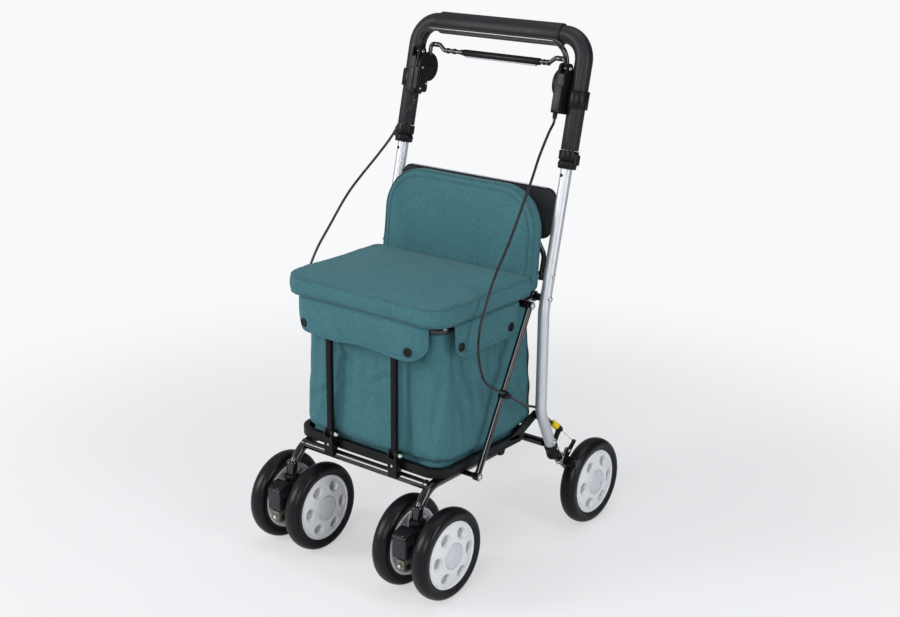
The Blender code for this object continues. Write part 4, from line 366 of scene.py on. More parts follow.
def filleted(points, radius, steps=10):
    """Path through the points with each inner corner replaced by an arc."""
    points = [Vector(p) for p in points]
    path = [points[0]]
    for index, corner in enumerate(points[1:-1], 1):
        behind = points[index - 1] - corner
        ahead = points[index + 1] - corner
        room_behind = behind.length * (0.98 if index == 1 else 0.49)
        room_ahead = ahead.length * (0.98 if index == len(points) - 2 else 0.49)
        behind.normalize()
        ahead.normalize()
        half_angle = behind.angle(ahead) / 2
        run = min(radius / math.tan(half_angle), room_behind, room_ahead)
        arc = run * math.tan(half_angle)
        middle = corner + (behind + ahead).normalized() * (arc / math.sin(half_angle))
        first = corner + behind * run - middle
        last = corner + ahead * run - middle
        for step in range(steps + 1):
            path.append(middle + first.slerp(last, step / steps).normalized() * arc)
    path.append(points[-1])
    return path


def sweep(points, radius, sides=24, round_ends=0.0, closed=False):
    """Round tube along the points. Radius is one number or one for each point."""
    points = [Vector(p) for p in points]
    radii = list(radius) if hasattr(radius, "__len__") else [radius] * len(points)
    if round_ends > 0:
        head = (points[0] - points[1]).normalized()
        tail = (points[-1] - points[-2]).normalized()
        start, end = points[0].copy(), points[-1].copy()
        start_radius, end_radius = radii[0], radii[-1]
        points[0] = start - head * round_ends
        points[-1] = end - tail * round_ends
        for angle in (30, 60, 85):
            s, c = math.sin(math.radians(angle)), math.cos(math.radians(angle))
            points.insert(0, start - head * round_ends * (1 - s))
            radii.insert(0, start_radius - round_ends * (1 - c))
            points.append(end - tail * round_ends * (1 - s))
            radii.append(end_radius - round_ends * (1 - c))
    bm = bmesh.new()
    rings = []
    side = None
    count = len(points)
    for index, point in enumerate(points):
        before = points[index - 1] if index or closed else points[0]
        after = points[(index + 1) % count] if index < count - 1 or closed else points[-1]
        ahead = (after - before).normalized()
        if side is None:
            side = ahead.orthogonal().normalized()
        side = (side - ahead * side.dot(ahead)).normalized()
        other = ahead.cross(side)
        ring = []
        for step in range(sides):
            angle = 2 * math.pi * step / sides
            ring.append(bm.verts.new(point + (side * math.cos(angle) + other * math.sin(angle)) * radii[index]))
        rings.append(ring)
    pairs = list(zip(rings, rings[1:])) + ([(rings[-1], rings[0])] if closed else [])
    for first, second in pairs:
        bridge(bm, first, second)
    if not closed:
        bm.faces.new(rings[0][::-1])
        bm.faces.new(rings[-1])
    return bm


def rod(start_x, end_x, spot, radius, sides, round_ends=0.0):
    """Straight round bar across X. The last two numbers of the spot are its Y and Z."""
    return sweep([(start_x, *spot[-2:]), (end_x, *spot[-2:])], radius, sides, round_ends)


def lathe(profile, steps=48, closed=False, capped=True):
    """Profile of (radius, height) turned round local Z. An open profile's wide ends are capped unless told not to."""
    bm = bmesh.new()
    rings = []
    for radius, height in profile:
        if radius < 1e-6:
            rings.append([bm.verts.new((0, 0, height))])
            continue
        rings.append([bm.verts.new((radius * math.cos(2 * math.pi * i / steps),
                                    radius * math.sin(2 * math.pi * i / steps), height)) for i in range(steps)])
    pairs = list(zip(rings, rings[1:])) + ([(rings[-1], rings[0])] if closed else [])
    for first, second in pairs:
        for i in range(steps):
            j = (i + 1) % steps
            corners = []
            for ring, k in ((first, i), (first, j), (second, j), (second, i)):
                vert = ring[k % len(ring)]
                if vert not in corners:
                    corners.append(vert)
            if len(corners) > 2:
                bm.faces.new(corners)
    if capped and not closed:
        for ring in (rings[0], rings[-1]):
            if len(ring) > 1:
                bm.faces.new(ring)
    return bm

def sleeve(bore, radius, half_length, chamfer, steps):
    """Tube about local Z whose outer edges are cut off by a chamfer of (across, lengthways)."""
    half = [(bore, half_length), (radius - chamfer[0], half_length), (radius, half_length - chamfer[1])]
    return lathe([(r, -h) for r, h in half] + half[::-1], steps, closed=bore > 0)


def mirrored(half):
    """Path from one side over the middle plane to its mirror image."""
    return half + [(-x, y, z) for x, y, z in reversed(half)]


def arc(centre, radius, degrees):
    """Points of a circle at some angles."""
    return [(centre[0] + radius * math.cos(math.radians(a)), centre[1] + radius * math.sin(math.radians(a)))
            for a in degrees]


def along(point, direction):
    """Matrix that puts local Z along a direction from a point."""
    turn_to = Vector((0, 0, 1)).rotation_difference(Vector(direction).normalized())
    return Matrix.Translation(point) @ turn_to.to_matrix().to_4x4()


def rounded(bm, width, segments=2, angle=35):
    """Bevel the edges that are sharper than an angle."""
    edges = [e for e in bm.edges if len(e.link_faces) == 2 and e.calc_face_angle(0) > math.radians(angle)]
    bmesh.ops.bevel(bm, geom=edges, offset=width, segments=segments, affect="EDGES", profile=0.6, clamp_overlap=True)
    return bm


def block(corner, opposite, width=0.001, segments=3):
    """Box between two opposite corners, its edges bevelled."""
    low, high = (Vector(ends) for ends in zip(*map(sorted, zip(corner, opposite))))
    bm = bmesh.new()
    bmesh.ops.create_cube(bm, size=1.0)
    bmesh.ops.scale(bm, vec=high - low, verts=bm.verts)
    bmesh.ops.translate(bm, vec=(low + high) / 2, verts=bm.verts)
    return rounded(bm, width, segments) if width else bm


def belt(circles, steps=28):
    """Outline that a belt would take round some circles, each (y, z, radius)."""
    points = []
    for y, z, radius in circles:
        for step in range(steps):
            angle = 2 * math.pi * step / steps
            points.append((y + radius * math.cos(angle), z + radius * math.sin(angle)))
    points = sorted(set(points))

    def half_hull(ordered):
        chain = []
        for point in ordered:
            while len(chain) > 1:
                (ay, az), (by, bz) = chain[-2], chain[-1]
                if (by - ay) * (point[1] - az) - (bz - az) * (point[0] - ay) > 1e-10:
                    break
                chain.pop()
            chain.append(point)
        return chain[:-1]

    return half_hull(points) + half_hull(points[::-1])


def slab(outline, start, end, width=0.0008, axis="X", segments=2):
    """Plate across an axis, between two places on it, from an outline in the plane of the other two."""
    def at(a, b, c):
        return {"X": (c, a, b), "Y": (a, c, b), "Z": (a, b, c)}[axis]

    bm = bmesh.new()
    first, second = ([bm.verts.new(at(a, b, c)) for a, b in outline] for c in sorted((start, end)))
    bm.faces.new(first)
    bm.faces.new(second[::-1])
    bridge(bm, second, first)
    bmesh.ops.recalc_face_normals(bm, faces=bm.faces)
    if width:
        ends = [e for e in bm.edges if all(v in first for v in e.verts) or all(v in second for v in e.verts)]
        bmesh.ops.bevel(bm, geom=ends, offset=width, segments=segments, affect="EDGES", profile=0.6, clamp_overlap=True)
    return bm


def dome_head(radius, height, socket=0.45):
    """Button-head screw with a round socket; its face looks along Z."""
    profile = [(radius, 0), (radius, height * 0.25)]
    for step in range(1, 6):
        angle = math.radians(18 * step)
        profile.append((max(radius * math.cos(angle * 0.72), radius * socket),
                        height * (0.25 + 0.75 * math.sin(angle))))
    profile = profile[:-1] + [(radius * socket, height), (radius * socket, height * 0.35), (0, height * 0.35)]
    return lathe([(0, 0)] + profile, 24)


def acorn_nut(radius, height):
    """Hexagonal nut with a domed cap; it looks along Z."""
    bm = bmesh.new()
    bmesh.ops.create_cone(bm, cap_ends=True, segments=6, radius1=radius, radius2=radius, depth=height * 0.45)
    bmesh.ops.translate(bm, vec=(0, 0, height * 0.225), verts=bm.verts)
    rounded(bm, radius * 0.1, 2)
    cap = lathe([(radius * 0.86, height * 0.44), (radius * 0.84, height * 0.55), (radius * 0.72, height * 0.76),
                 (radius * 0.45, height * 0.93), (0, height)], 20)
    pour(cap, bm)
    return bm


def star_washer(radius, thickness, teeth=14):
    """Flat washer with a toothed rim; it looks along Z."""
    ring = []
    for i in range(teeth * 2):
        r = radius if i % 2 else radius * 0.86
        ring.append((r * math.cos(math.pi * i / teeth), r * math.sin(math.pi * i / teeth)))
    return slab(ring, 0, thickness, 0.0, axis="Z")


def plan_ring(half_x, low_y, high_y, corner, steps=10):
    """Points round a rectangle with round corners."""
    points = []
    for cx, cy, start in ((half_x - corner, high_y - corner, 0), (corner - half_x, high_y - corner, 90),
                          (corner - half_x, low_y + corner, 180), (half_x - corner, low_y + corner, 270)):
        points += arc((cx, cy), corner, [start + 90 * step / steps for step in range(steps + 1)])
    return points


# Wheels
AXLE_Z = 0.0875
CASTER_X = 0.158
WHEELS = [(f"rear_{{}}_{side}", f"rear_wheel_{side}", (s * 0.229, 0.215, AXLE_Z), s) for side, s in SIDES]
for side, s in SIDES:
    for label, outward in (("outer", s), ("inner", -s)):
        WHEELS.append((f"front_{{}}_{side}_{label}", f"front_wheel_{side}_{label}",
                       (s * CASTER_X + outward * 0.0466, -0.215, AXLE_Z), outward))

TYRE_HALF = mm(65.3, 10.5, 65.5, 14.2, 66.4, 15.2, 68, 15.4, 69, 15, 70, 15.7, 72.8, 16.7, 76.2, 17, 79.2, 16.4,
               82, 14.8, 84.3, 12.2, 86, 8.8, 87, 4.7, 87.5, 0)


def hub_height(radius):
    """Height of the hub's domed face above its middle plane."""
    share = min(1.0, max(0.0, (radius - 0.0262) / 0.0333))
    return 0.0178 - 0.0048 * share * share * (0.6 + 0.4 * share)


def hub_face():
    """Domed face with six scooped recesses, as a fine polar grid: the mesh of its skin and that of the recesses, which
    takes a darker colour as painted shade.
    """
    around, rings = 180, 34
    grid = {}
    for i in range(rings + 1):
        radius = 0.0258 + (0.0597 - 0.0258) * i / rings
        for j in range(around):
            angle = 2 * math.pi * j / around
            nearest = (math.floor(angle / (math.pi / 3)) + 0.5) * math.pi / 3
            across = radius * math.sin(angle - nearest)
            reach = math.hypot((radius * math.cos(angle - nearest) - 0.044) / 0.0098, across / 0.0124)
            depth = 0.0118 * (1 - reach ** 3.0) ** 0.6 if reach < 1 else 0.0
            lip = 0.0007 * max(0.0, 1 - abs(reach - 1.07) / 0.12)
            point = Vector((radius * math.cos(angle), radius * math.sin(angle), hub_height(radius) - depth + lip))
            grid[i, j] = (point, reach)
    skin, wells = bmesh.new(), bmesh.new()
    verts = {skin: {}, wells: {}}
    for i in range(rings):
        for j in range(around):
            k = (j + 1) % around
            corners = ((i, j), (i + 1, j), (i + 1, k), (i, k))
            bm = wells if max(grid[key][1] for key in corners) < 0.97 else skin
            for key in corners:
                if key not in verts[bm]:
                    verts[bm][key] = bm.verts.new(grid[key][0])
            bm.faces.new([verts[bm][key] for key in corners])
    return skin, wells


for name, body, centre, outward in WHEELS:
    stand = Matrix.Translation(centre) @ Matrix.Rotation(outward * math.pi / 2, 4, "Y")
    tyre = Part(stand)
    tyre.add(lathe(TYRE_HALF + [(r, -h) for r, h in reversed(TYRE_HALF[:-1])], 96, closed=True), RUBBER)
    tyre.done(name.format("tyre") + "_rubber", body, name.format("tyre"), angle=60, slot="tyre")
    hub = Part(stand)
    face_bm, well_bm = hub_face()
    hub.add(face_bm, HUB)
    # The recesses take the darker colour of painted shade
    hub.add(well_bm, HUB_WELL_PAINTED_SHADE)
    hub.add(lathe(mm(59.6, 12.7, 60.2, 13.6, 61.2, 14.1, 63.6, 14, 64.8, 13.4, 65.2, 12.2, 65.2, -15, 64.6, -15.8,
                     60, -15.8, 59.4, -15, 59, -1.2, 57.5, 0, 19, 0, 17, -1.4, 16.2, -16, 15.2, -17, 8.5, -17, 6, -16.6,
                     5.6, -16, 5.6, 9.5), 96,
                  capped=False), HUB)
    for k in range(18):
        rib = block((0.0155, -0.0008, -0.0128), (0.06, 0.0008, 0.0005), 0.0)
        hub.add(rib, HUB, stand @ Matrix.Rotation(2 * math.pi * (k + 0.5) / 18, 4, "Z"))
    hub.add(lathe(mm(58.5, -15.2, 56, -14.6, 55.6, -12, 56.2, -0.2), 72, capped=False), HUB)
    hub.add(lathe(mm(26.2, 17.6, 25.4, 18.1, 24.9, 17.8, 24.6, 16.8, 24, 16.8, 23.8, 18, 23, 19.1, 21.4, 19.5, 20.5, 19,
                     19.6, 19, 18.6, 19.4, 10, 19.7, 0, 19.8), 72, capped=False), HUB_CAP)
    hub.done(name.format("hub") + "_moulding", body, name.format("hub"), angle=38, slot="hub")


# Uprights, handle and its controls
def leaning(x, depth, height):
    """Point of the uprights' leaning frame."""
    return LEANING @ Vector((x, depth, height))


UPRIGHT_X = 0.2
SEAT_Z = 0.498
SEAT_PIVOT = Vector((0, 0.0883, SEAT_Z))
TRAY_PIVOT = Vector((0, 0.08586, 0.2575))
FOOT = Vector((0, 0.118, 0.186))
LOW_BEND = Vector((0, 0.0803, 0.27))
for side, s in SIDES:
    x = s * UPRIGHT_X
    post = Part()
    bends = [(x, *FOOT.yz), (x, *LOW_BEND.yz), (x, 0.0827, 0.475), leaning(x, 0, 0.284)]
    post.add(sweep(filleted(bends, 0.055, 16), 0.011, 36), ALUMINIUM)
    post.add(lathe(mm(0, 0.2, 2.4, 0.2, 3, 0.4, 3.6, 0.2, 3.6, -2), 20), PLASTIC,
             along(leaning(x - 0.0025, -0.0106, 0.257), LEANING.to_3x3() @ Vector((-0.22, -1, 0))))
    spot = Vector((s * 0.2104, *SEAT_PIVOT.yz))
    post.add(lathe(mm(6.2, -3, 6.2, 0.4, 5.8, 0.8, 0, 0.8), 28), ZINC, along(spot, (s, 0, 0)))
    post.screw(0.0046, 0.003, spot + s * 0.0006 * X_AXIS, (s, 0, 0))
    for pivot, inner, face in ((SEAT_PIVOT, 0.168, 0.1766), (TRAY_PIVOT, 0.1785, 0.1833)):
        post.add(rod(s * 0.191, s * face, pivot, 0.007, 24), PLASTIC)
        post.add(rod(s * 0.191, s * inner, pivot, 0.004, 16), ZINC)
    post.screw(0.0042, 0.0026, (s * 0.2106, 0.0963, 0.542), (s, 0, 0))
    post.done(f"upright_{side}_tube", "frame", f"upright_{side}", slot="aluminium")

    put = LEANING @ Matrix.Translation((x, 0, 0.287))
    ring = Part(LEANING)
    ring.add(lathe(mm(11.3, 17, 17, 17, 18.3, 16.3, 18.6, 15, 18.6, 1, 18.2, -0.2, 16.6, -1, 16, -2, 16.6, -3.2,
                      17.5, -4.2, 17.8, -6, 17.6, -15.5, 16.8, -16.8, 15.8, -17.2, 11.2, -17.2),
                   48, closed=True), PLASTIC, put)
    ring.add(lathe(mm(17.8, -7, 18.3, -7.6, 18.3, -10, 17.8, -10.6), 48, closed=True), PLASTIC, put)
    ring.add(block((s * 0.2165, -0.006, 0.279), (s * 0.2226, 0.006, 0.2985), 0.0014), PLASTIC)
    ring.add(lathe(mm(0, 0.9, 3, 0.9, 3.6, 0.4, 4, -1), 20), PLASTIC, along(leaning(s * 0.2225, 0, 0.2888), (s, 0, 0)))
    ring.add(block((s * 0.18, -0.0045, 0.2965), (s * 0.1835, 0.0045, 0.303), 0.0008), PLASTIC)
    ring.done(f"collar_{side}_moulding", "frame", f"collar_{side}", slot="plastic")

GRIP_HEIGHT = 0.5156
handle_line = filleted(mirrored([(-UPRIGHT_X, 0, 0.13), (-UPRIGHT_X, 0, GRIP_HEIGHT)]), 0.048, 14)
stem = Part(LEANING)
stem.add(sweep(handle_line, 0.0087, 28), ALUMINIUM)
stem.done("handle_tube_drawn", "handle", "handle_tube", slot="aluminium")

centre = Part()
foam = sweep([(x, 0, 0) for x in (-0.146, -0.06, 0.06, 0.146)], 0.0193, 48, round_ends=0.0022)
bmesh.ops.scale(foam, vec=(1, 1, 1.12), verts=foam.verts)
centre.add(foam, FOAM, LEANING @ Matrix.Translation((0, 0, GRIP_HEIGHT - 0.0014)))
centre.done("grip_centre_foam", "handle", "grip_centre", slot="foam")
for side, s in SIDES:
    line = filleted([(s * UPRIGHT_X, 0, 0.3046), (s * UPRIGHT_X, 0, GRIP_HEIGHT), (s * 0.1463, 0, GRIP_HEIGHT)],
                    0.048, 16)
    grip = Part(LEANING)
    grip.add(sweep(line, 0.0169, 48, round_ends=0.0018), FOAM)
    grip.done(f"grip_leg_{side}_foam", "handle", f"grip_leg_{side}", slot="foam")

BRAKE_PIVOT = (-0.02, 0.4524)
PARKING_PIVOT = (-0.004, 0.4245)
HOUSING_INNER, HOUSING_OUTER = 0.1663, 0.1868
SLOT_INNER, SLOT_OUTER = 0.1724, 0.1836
BUTTON_FACE = 0.1588
foot = [(-0.03, 0.3727, 0.004), (-0.01, 0.3727, 0.004)]
cheek = belt([*foot, (-0.03, 0.4245, 0.004), (-0.01, 0.4245, 0.004), (*BRAKE_PIVOT, 0.0098)])
core = belt([*foot, (-0.03, 0.44, 0.004), (-0.01, 0.44, 0.004)])
cover = belt([(-0.0285, 0.4215, 0.0065), (-0.029, 0.38, 0.0065), (-0.0125, 0.3805, 0.0075), (-0.0125, 0.3925, 0.006)])
bosses = (belt([(-0.0285, 0.3795, 0.006), (-0.013, 0.3795, 0.006)]),
          belt([(-0.0345, 0.3795, 0.003), (-0.0345, 0.42, 0.003)]))
ferrule = mm(0, 0, 4.5, 0, 4.5, 3, 3.9, 3.6, 4.5, 4.2, 4.5, 7.2, 3.9, 7.8, 4, 10.5, 3, 11.2, 0, 11.2)
for side, s in SIDES:
    housing = Part(LEANING)
    for first, second in ((HOUSING_INNER, SLOT_INNER), (SLOT_OUTER, HOUSING_OUTER)):
        housing.add(slab(cheek, s * first, s * second, 0.0008), PLASTIC)
    housing.add(slab(core, s * (SLOT_INNER - 0.0006), s * (SLOT_OUTER + 0.0006), 0.0), PLASTIC)
    housing.add(sleeve(0.0173, 0.0209, 0.017, (0.0006, 0.0008), 56), PLASTIC,
                LEANING @ Matrix.Translation((s * UPRIGHT_X, 0, 0.399)))
    housing.add(block((s * 0.17, -0.0362, 0.3735), (s * 0.1852, -0.033, 0.4205), 0.0012), PLASTIC)
    for depth, height in ((-0.0265, 0.379), (-0.0125, 0.379), (-0.027, 0.413)):
        housing.screw(0.0027, 0.0016, leaning(s * HOUSING_INNER, depth, height), (-s, 0, 0))
    for face, aim in ((HOUSING_INNER, -s), (HOUSING_OUTER, s)):
        housing.screw(0.0042, 0.0016, leaning(s * face, *BRAKE_PIVOT), (aim, 0, 0))
    housing.add(rod(s * HOUSING_OUTER, s * BUTTON_FACE, PARKING_PIVOT, 0.005, 20), ZINC)
    housing.screw(0.0064, 0.0018, leaning(s * BUTTON_FACE, *PARKING_PIVOT), (-s, 0, 0), PLASTIC)
    if side == "right":
        housing.add(slab(cover, s * 0.1552, s * 0.1583, 0.0009), PLASTIC)
        for boss in bosses:
            housing.add(slab(boss, s * 0.158, s * 0.1666, 0.0), PLASTIC)
        for depth, height in ((-0.028, 0.4205), (-0.027, 0.379), (-0.0105, 0.3905)):
            housing.screw(0.0026, 0.0015, leaning(s * 0.1553, depth, height), (-s, 0, 0))
    housing.add(lathe(ferrule, 24), PLASTIC,
                along(leaning(s * 0.17, -0.022, 0.3692), LEANING.to_3x3() @ Vector((0, 0, -1))))
    housing.done(f"brake_housing_{side}_moulding", "handle", f"brake_housing_{side}", slot="plastic")

bar = Part(LEANING)
bar_line = filleted(mirrored([(-0.178, *BRAKE_PIVOT), (-0.178, -0.033, 0.499)]), 0.036, 14)
bar.add(sweep(bar_line, 0.005, 24), ENAMEL)
for side, s in SIDES:
    bar.add(rod(s * 0.1728, s * 0.1832, BRAKE_PIVOT, 0.0052, 24, 0.0006), ENAMEL)
    bar.add(rod(s * 0.1668, s * 0.1863, BRAKE_PIVOT, 0.0028, 16), ZINC)
bar.done("brake_bar_enamelled", "brake_bar", "brake_bar", slot="steel")

park = Part(LEANING)
depth = PARKING_PIVOT[0]
half = [(x, depth, height) for x, height in ((0.1617, 0.4477), (0.1617, 0.4705), (0.14, 0.4705), (0.127, 0.4605),
                                             (0.081, 0.46))]
park.add(sweep(filleted(mirrored(half), 0.007, 8), 0.0042, 20), ENAMEL)
park.add(rod(-0.076, 0.106, (depth, 0.46), 0.0068, 32, 0.0012), PLASTIC)
park.add(block((-0.07, -0.0072, 0.4512), (0.098, -0.001, 0.4536), 0.0006), LIGHT_GREY_STRIP)
for x in (-0.12, -0.104, -0.084, 0.112, 0.122):
    park.add(rod(x, x + 0.006, (depth, 0.4602), 0.0056, 24, 0.0008), ENAMEL)
disc = arc(PARKING_PIVOT, 0.0288, [360 * i / 64 for i in range(64)])
for side, s in SIDES:
    park.add(rod(s * 0.156, s * 0.141, (depth, 0.47), 0.005, 20, 0.0012), ENAMEL)
    park.add(slab(disc, s * BUTTON_FACE, s * 0.166, 0.0013, segments=3), PLASTIC)
    stop = along(leaning(s * BUTTON_FACE, 0.013, 0.426), (-s, 0, 0))
    park.add(lathe(mm(3, 0.6, 3.8, 0.3, 4, -0.5, 0, -0.5), 24), PLASTIC, stop)
    park.add(lathe(mm(0, 0.35, 2.6, 0.35, 2.6, -1), 24), RUBBER, stop)
    park.add(lathe(mm(21.5, -0.2, 22.2, 0.5, 23, -0.2), 64), PLASTIC,
             along(leaning(s * BUTTON_FACE, *PARKING_PIVOT), (-s, 0, 0)))
park.done("parking_bar_enamelled", "parking_bar", "parking_bar", slot="plastic")


# Backrest tube and rear panel
PAD_LEAN = math.radians(6.56)


def pad_back(z):
    """Depth of the backrest pad's rear face at a height."""
    return 0.059 + 0.022 / math.cos(PAD_LEAN) + (z - 0.512) * math.tan(PAD_LEAN)


clear = 0.0053 / math.cos(PAD_LEAN)
half = [(0.1832, 0.0935, 0.53), (0.1832, 0.1045, 0.576), (0.16, pad_back(0.622) + clear, 0.622),
        (0.148, pad_back(0.69) + clear, 0.69)]
tube = Part()
tube.add(sweep(filleted(mirrored(half), 0.03, 10), 0.005, 24, round_ends=0.0012), ENAMEL)
for side, s in SIDES:
    tube.add(rod(s * 0.1832, s * 0.1887, (0.0964, 0.542), 0.0035, 16), ZINC)
    tube.add(rod(s * 0.1788, s * 0.176, (0.0964, 0.542), 0.0045, 6), ZINC)
tube.done("backrest_tube", "frame", "backrest_frame", slot="steel")

panel = Part(LEANING)
low, high = (0.606 - 0.475) / math.cos(LEAN), (0.6965 - 0.475) / math.cos(LEAN)
outline = plan_ring(0.1887, low, high, 0.02, 8)
panel.add(slab(outline, -0.0019, 0.0019, 0.0012, axis="Y", segments=3), BOARD_CLOTH)
binding = [(x * 0.9925, -0.0001, high + (z - high) * 0.985 - 0.0009) for x, z in outline]
panel.add(sweep(binding, 0.0025, 10, closed=True), WEBBING)
# Painted highlight: the light grey strip along the panel's top edge stands in for a highlight there
panel.add(block((-0.166, -0.0034, high + 0.0006), (0.166, 0.0016, high + 0.0026), 0.0007), LIGHT_GREY_STRIP)
panel.done("rear_panel_board", "frame", "rear_panel", slot="panel", angle=50)

# Seat frame
SEAT_HALF, SEAT_FRONT = 0.168, -0.1966
BAR_X = 0.08
BAR_FOOT = Vector((0, -0.2125, 0.248))
BAR_TOP = Vector((0, -0.2101, 0.4885))
STRUT_TOP = Vector((0, 0.038, 0.497))
STRUT_FOOT = Vector((0, -0.119, 0.205))
ring = Part()
line = filleted(mirrored([(SEAT_HALF, SEAT_PIVOT.y, SEAT_Z), (SEAT_HALF, SEAT_FRONT, SEAT_Z)]), 0.04, 14)
ring.add(sweep(line, 0.008, 28), ENAMEL)
ring.add(rod(-SEAT_HALF, SEAT_HALF, (0.036, SEAT_Z), 0.006, 20), ENAMEL)
outline = belt([(BAR_TOP.y, BAR_TOP.z, 0.006), (SEAT_FRONT, SEAT_Z, 0.0072)])
for side, s in SIDES:
    x = s * BAR_X
    ring.add(sleeve(0.0046, 0.0105, 0.0083, (0.0009, 0.0008), 32), ENAMEL,
             along((s * SEAT_HALF, SEAT_PIVOT.y, SEAT_Z), (s, 0, 0)))
    ring.add(rod(s * 0.17, s * 0.1932, STRUT_TOP, 0.007, 24, 0.0008), PLASTIC)
    ring.add(rod(s * 0.17, s * 0.204, STRUT_TOP, 0.0042, 16), ZINC)
    for sign in (-1, 1):
        ring.add(slab(outline, x + sign * 0.0063, x + sign * 0.0093, 0.0004), ENAMEL)
        ring.screw(0.004, 0.0022, (x + sign * 0.0093, *BAR_TOP.yz), (sign, 0, 0))
    ring.add(rod(x - 0.009, x + 0.009, BAR_TOP, 0.0024, 14), ZINC)
ring.done("seat_frame_tube", "seat", "seat_frame", slot="steel")


# Tray, front bars, chassis
def band(profile, half_x, low_y, high_y, corner):
    """Closed section of (inset, height) run round a rectangle with round corners."""
    bm = bmesh.new()
    rings = []
    for inset, height in profile:
        points = plan_ring(half_x - inset, low_y + inset, high_y - inset, corner - inset)
        rings.append([bm.verts.new((x, y, height)) for x, y in points])
    for first, second in zip(rings, rings[1:] + rings[:1]):
        bridge(bm, first, second)
    return bm


TRAY = (0.183, -0.205, 0.075, 0.04)  # half width, front, rear, corner radius
rim = Part()
rim.add(band(mm(2, 217, 0.6, 217.7, 0, 219.2, 0, 222.2, 0.7, 222.9, 0.7, 223.6, 0, 224.3, 0, 233.8, 0.6, 235.3, 2, 236,
                10, 236, 11.4, 235.3, 12, 233.8, 12, 218, 11.2, 217), *TRAY), PLASTIC)
outline = belt([(TRAY_PIVOT.y, TRAY_PIVOT.z, 0.009), (0.007, 0.232, 0.003), (0.035, 0.228, 0.003)])
for side, s in SIDES:
    rim.add(slab(outline, s * 0.1785, s * 0.183, 0.0006), PLASTIC)
rim.done("tray_rim_moulding", "tray", "tray_rim", slot="plastic")

CHASSIS_TUBE = (-0.207, 0.205)
foot = (mm(-220.3, 203.5, -219.8, 203, -217.8, 203) + arc(CHASSIS_TUBE, 0.0105, range(180, 80, -11))
        + [(-0.2053, 0.216), (-0.2053, 0.2362)])
ear = foot + arc(BAR_FOOT.yz, 0.0095, range(-38, 191, 12))
waist = foot + [(-0.2053, 0.242), (-0.2215, 0.242)]
flat_outline = belt([(BAR_FOOT.y, BAR_FOOT.z, 0.0045), (BAR_TOP.y, BAR_TOP.z, 0.0045)])
for side, s in SIDES:
    x = s * BAR_X
    bracket = Part()
    for sign in (-1, 1):
        bracket.add(slab(ear, x + sign * 0.0063, x + sign * 0.0105, 0.0009), PLASTIC)
    bracket.add(slab(waist, x - 0.0066, x + 0.0066, 0.0), PLASTIC)
    bracket.add(rod(x - 0.0098, x + 0.0098, BAR_FOOT, 0.0024, 14), ZINC)
    bracket.add(acorn_nut(0.0052, 0.0082), ZINC, along((x + 0.0104, *BAR_FOOT.yz), (1, 0, 0)))
    bracket.screw(0.0046, 0.0024, (x - 0.0104, *BAR_FOOT.yz), (-1, 0, 0))
    bracket.screw(0.0026, 0.0012, (x, -0.2212, 0.227), (0, -1, 0.03))
    bracket.done(f"bar_bracket_{side}_moulding", "tray", f"bar_bracket_{side}", slot="plastic")
    flat = Part()
    flat.add(slab(flat_outline, x - 0.006, x + 0.006, 0.0013, segments=3), POWDER)
    flat.done(f"front_bar_{side}_flat", "front_bars", f"front_bar_{side}", slot="steel")

SWIVEL_Y = -0.2405
PIVOT_G = (-0.002, 0.207)
chassis = Part()
chassis.add(rod(-CASTER_X, CASTER_X, CHASSIS_TUBE, 0.009, 28), ENAMEL)
for side, s in SIDES:
    x = s * CASTER_X
    put = Matrix.Translation((x, SWIVEL_Y, 0))
    arm = filleted([(x, SWIVEL_Y, 0.16), (x, -0.2385, 0.172), (x, *CHASSIS_TUBE), (x, *PIVOT_G)], 0.05, 16)
    chassis.add(sweep(arm, 0.009, 28), ENAMEL)
    chassis.add(lathe(mm(0, 151.5, 10.4, 151.5, 11, 152.2, 11, 176, 10.6, 177.6, 9.6, 178.2,
                         0, 178.2), 36), ENAMEL, put)
    chassis.add(lathe(mm(10.8, 174.5, 11.8, 175.2, 11.6, 176.8, 10.6, 178), 36), ENAMEL, put)
    chassis.add(sleeve(0.0045, 0.0095, 0.0093, (0.0007, 0.0007), 28), ENAMEL, along((x, *PIVOT_G), (1, 0, 0)))
    chassis.add(rod(x, s * 0.1932, STRUT_FOOT, 0.005, 20), ENAMEL)
    chassis.add(lathe(mm(8.8, -1.6, 10, -1, 10.4, 0.4, 9.6, 1.8), 28), ENAMEL,
                along((x - s * 0.0088, *CHASSIS_TUBE), (s, 0, 0)))
    chassis.screw(0.0058, 0.0032, (x + s * 0.0093, *PIVOT_G), (s, 0, 0))
chassis.done("chassis_tubes", "chassis", "chassis_frame", slot="steel")

cross = Part()
cross.add(rod(-0.1862, 0.1862, (0.112, 0.192), 0.008, 24), ENAMEL)
cross.done("rear_crossbar_tube", "frame", "rear_crossbar", slot="steel")

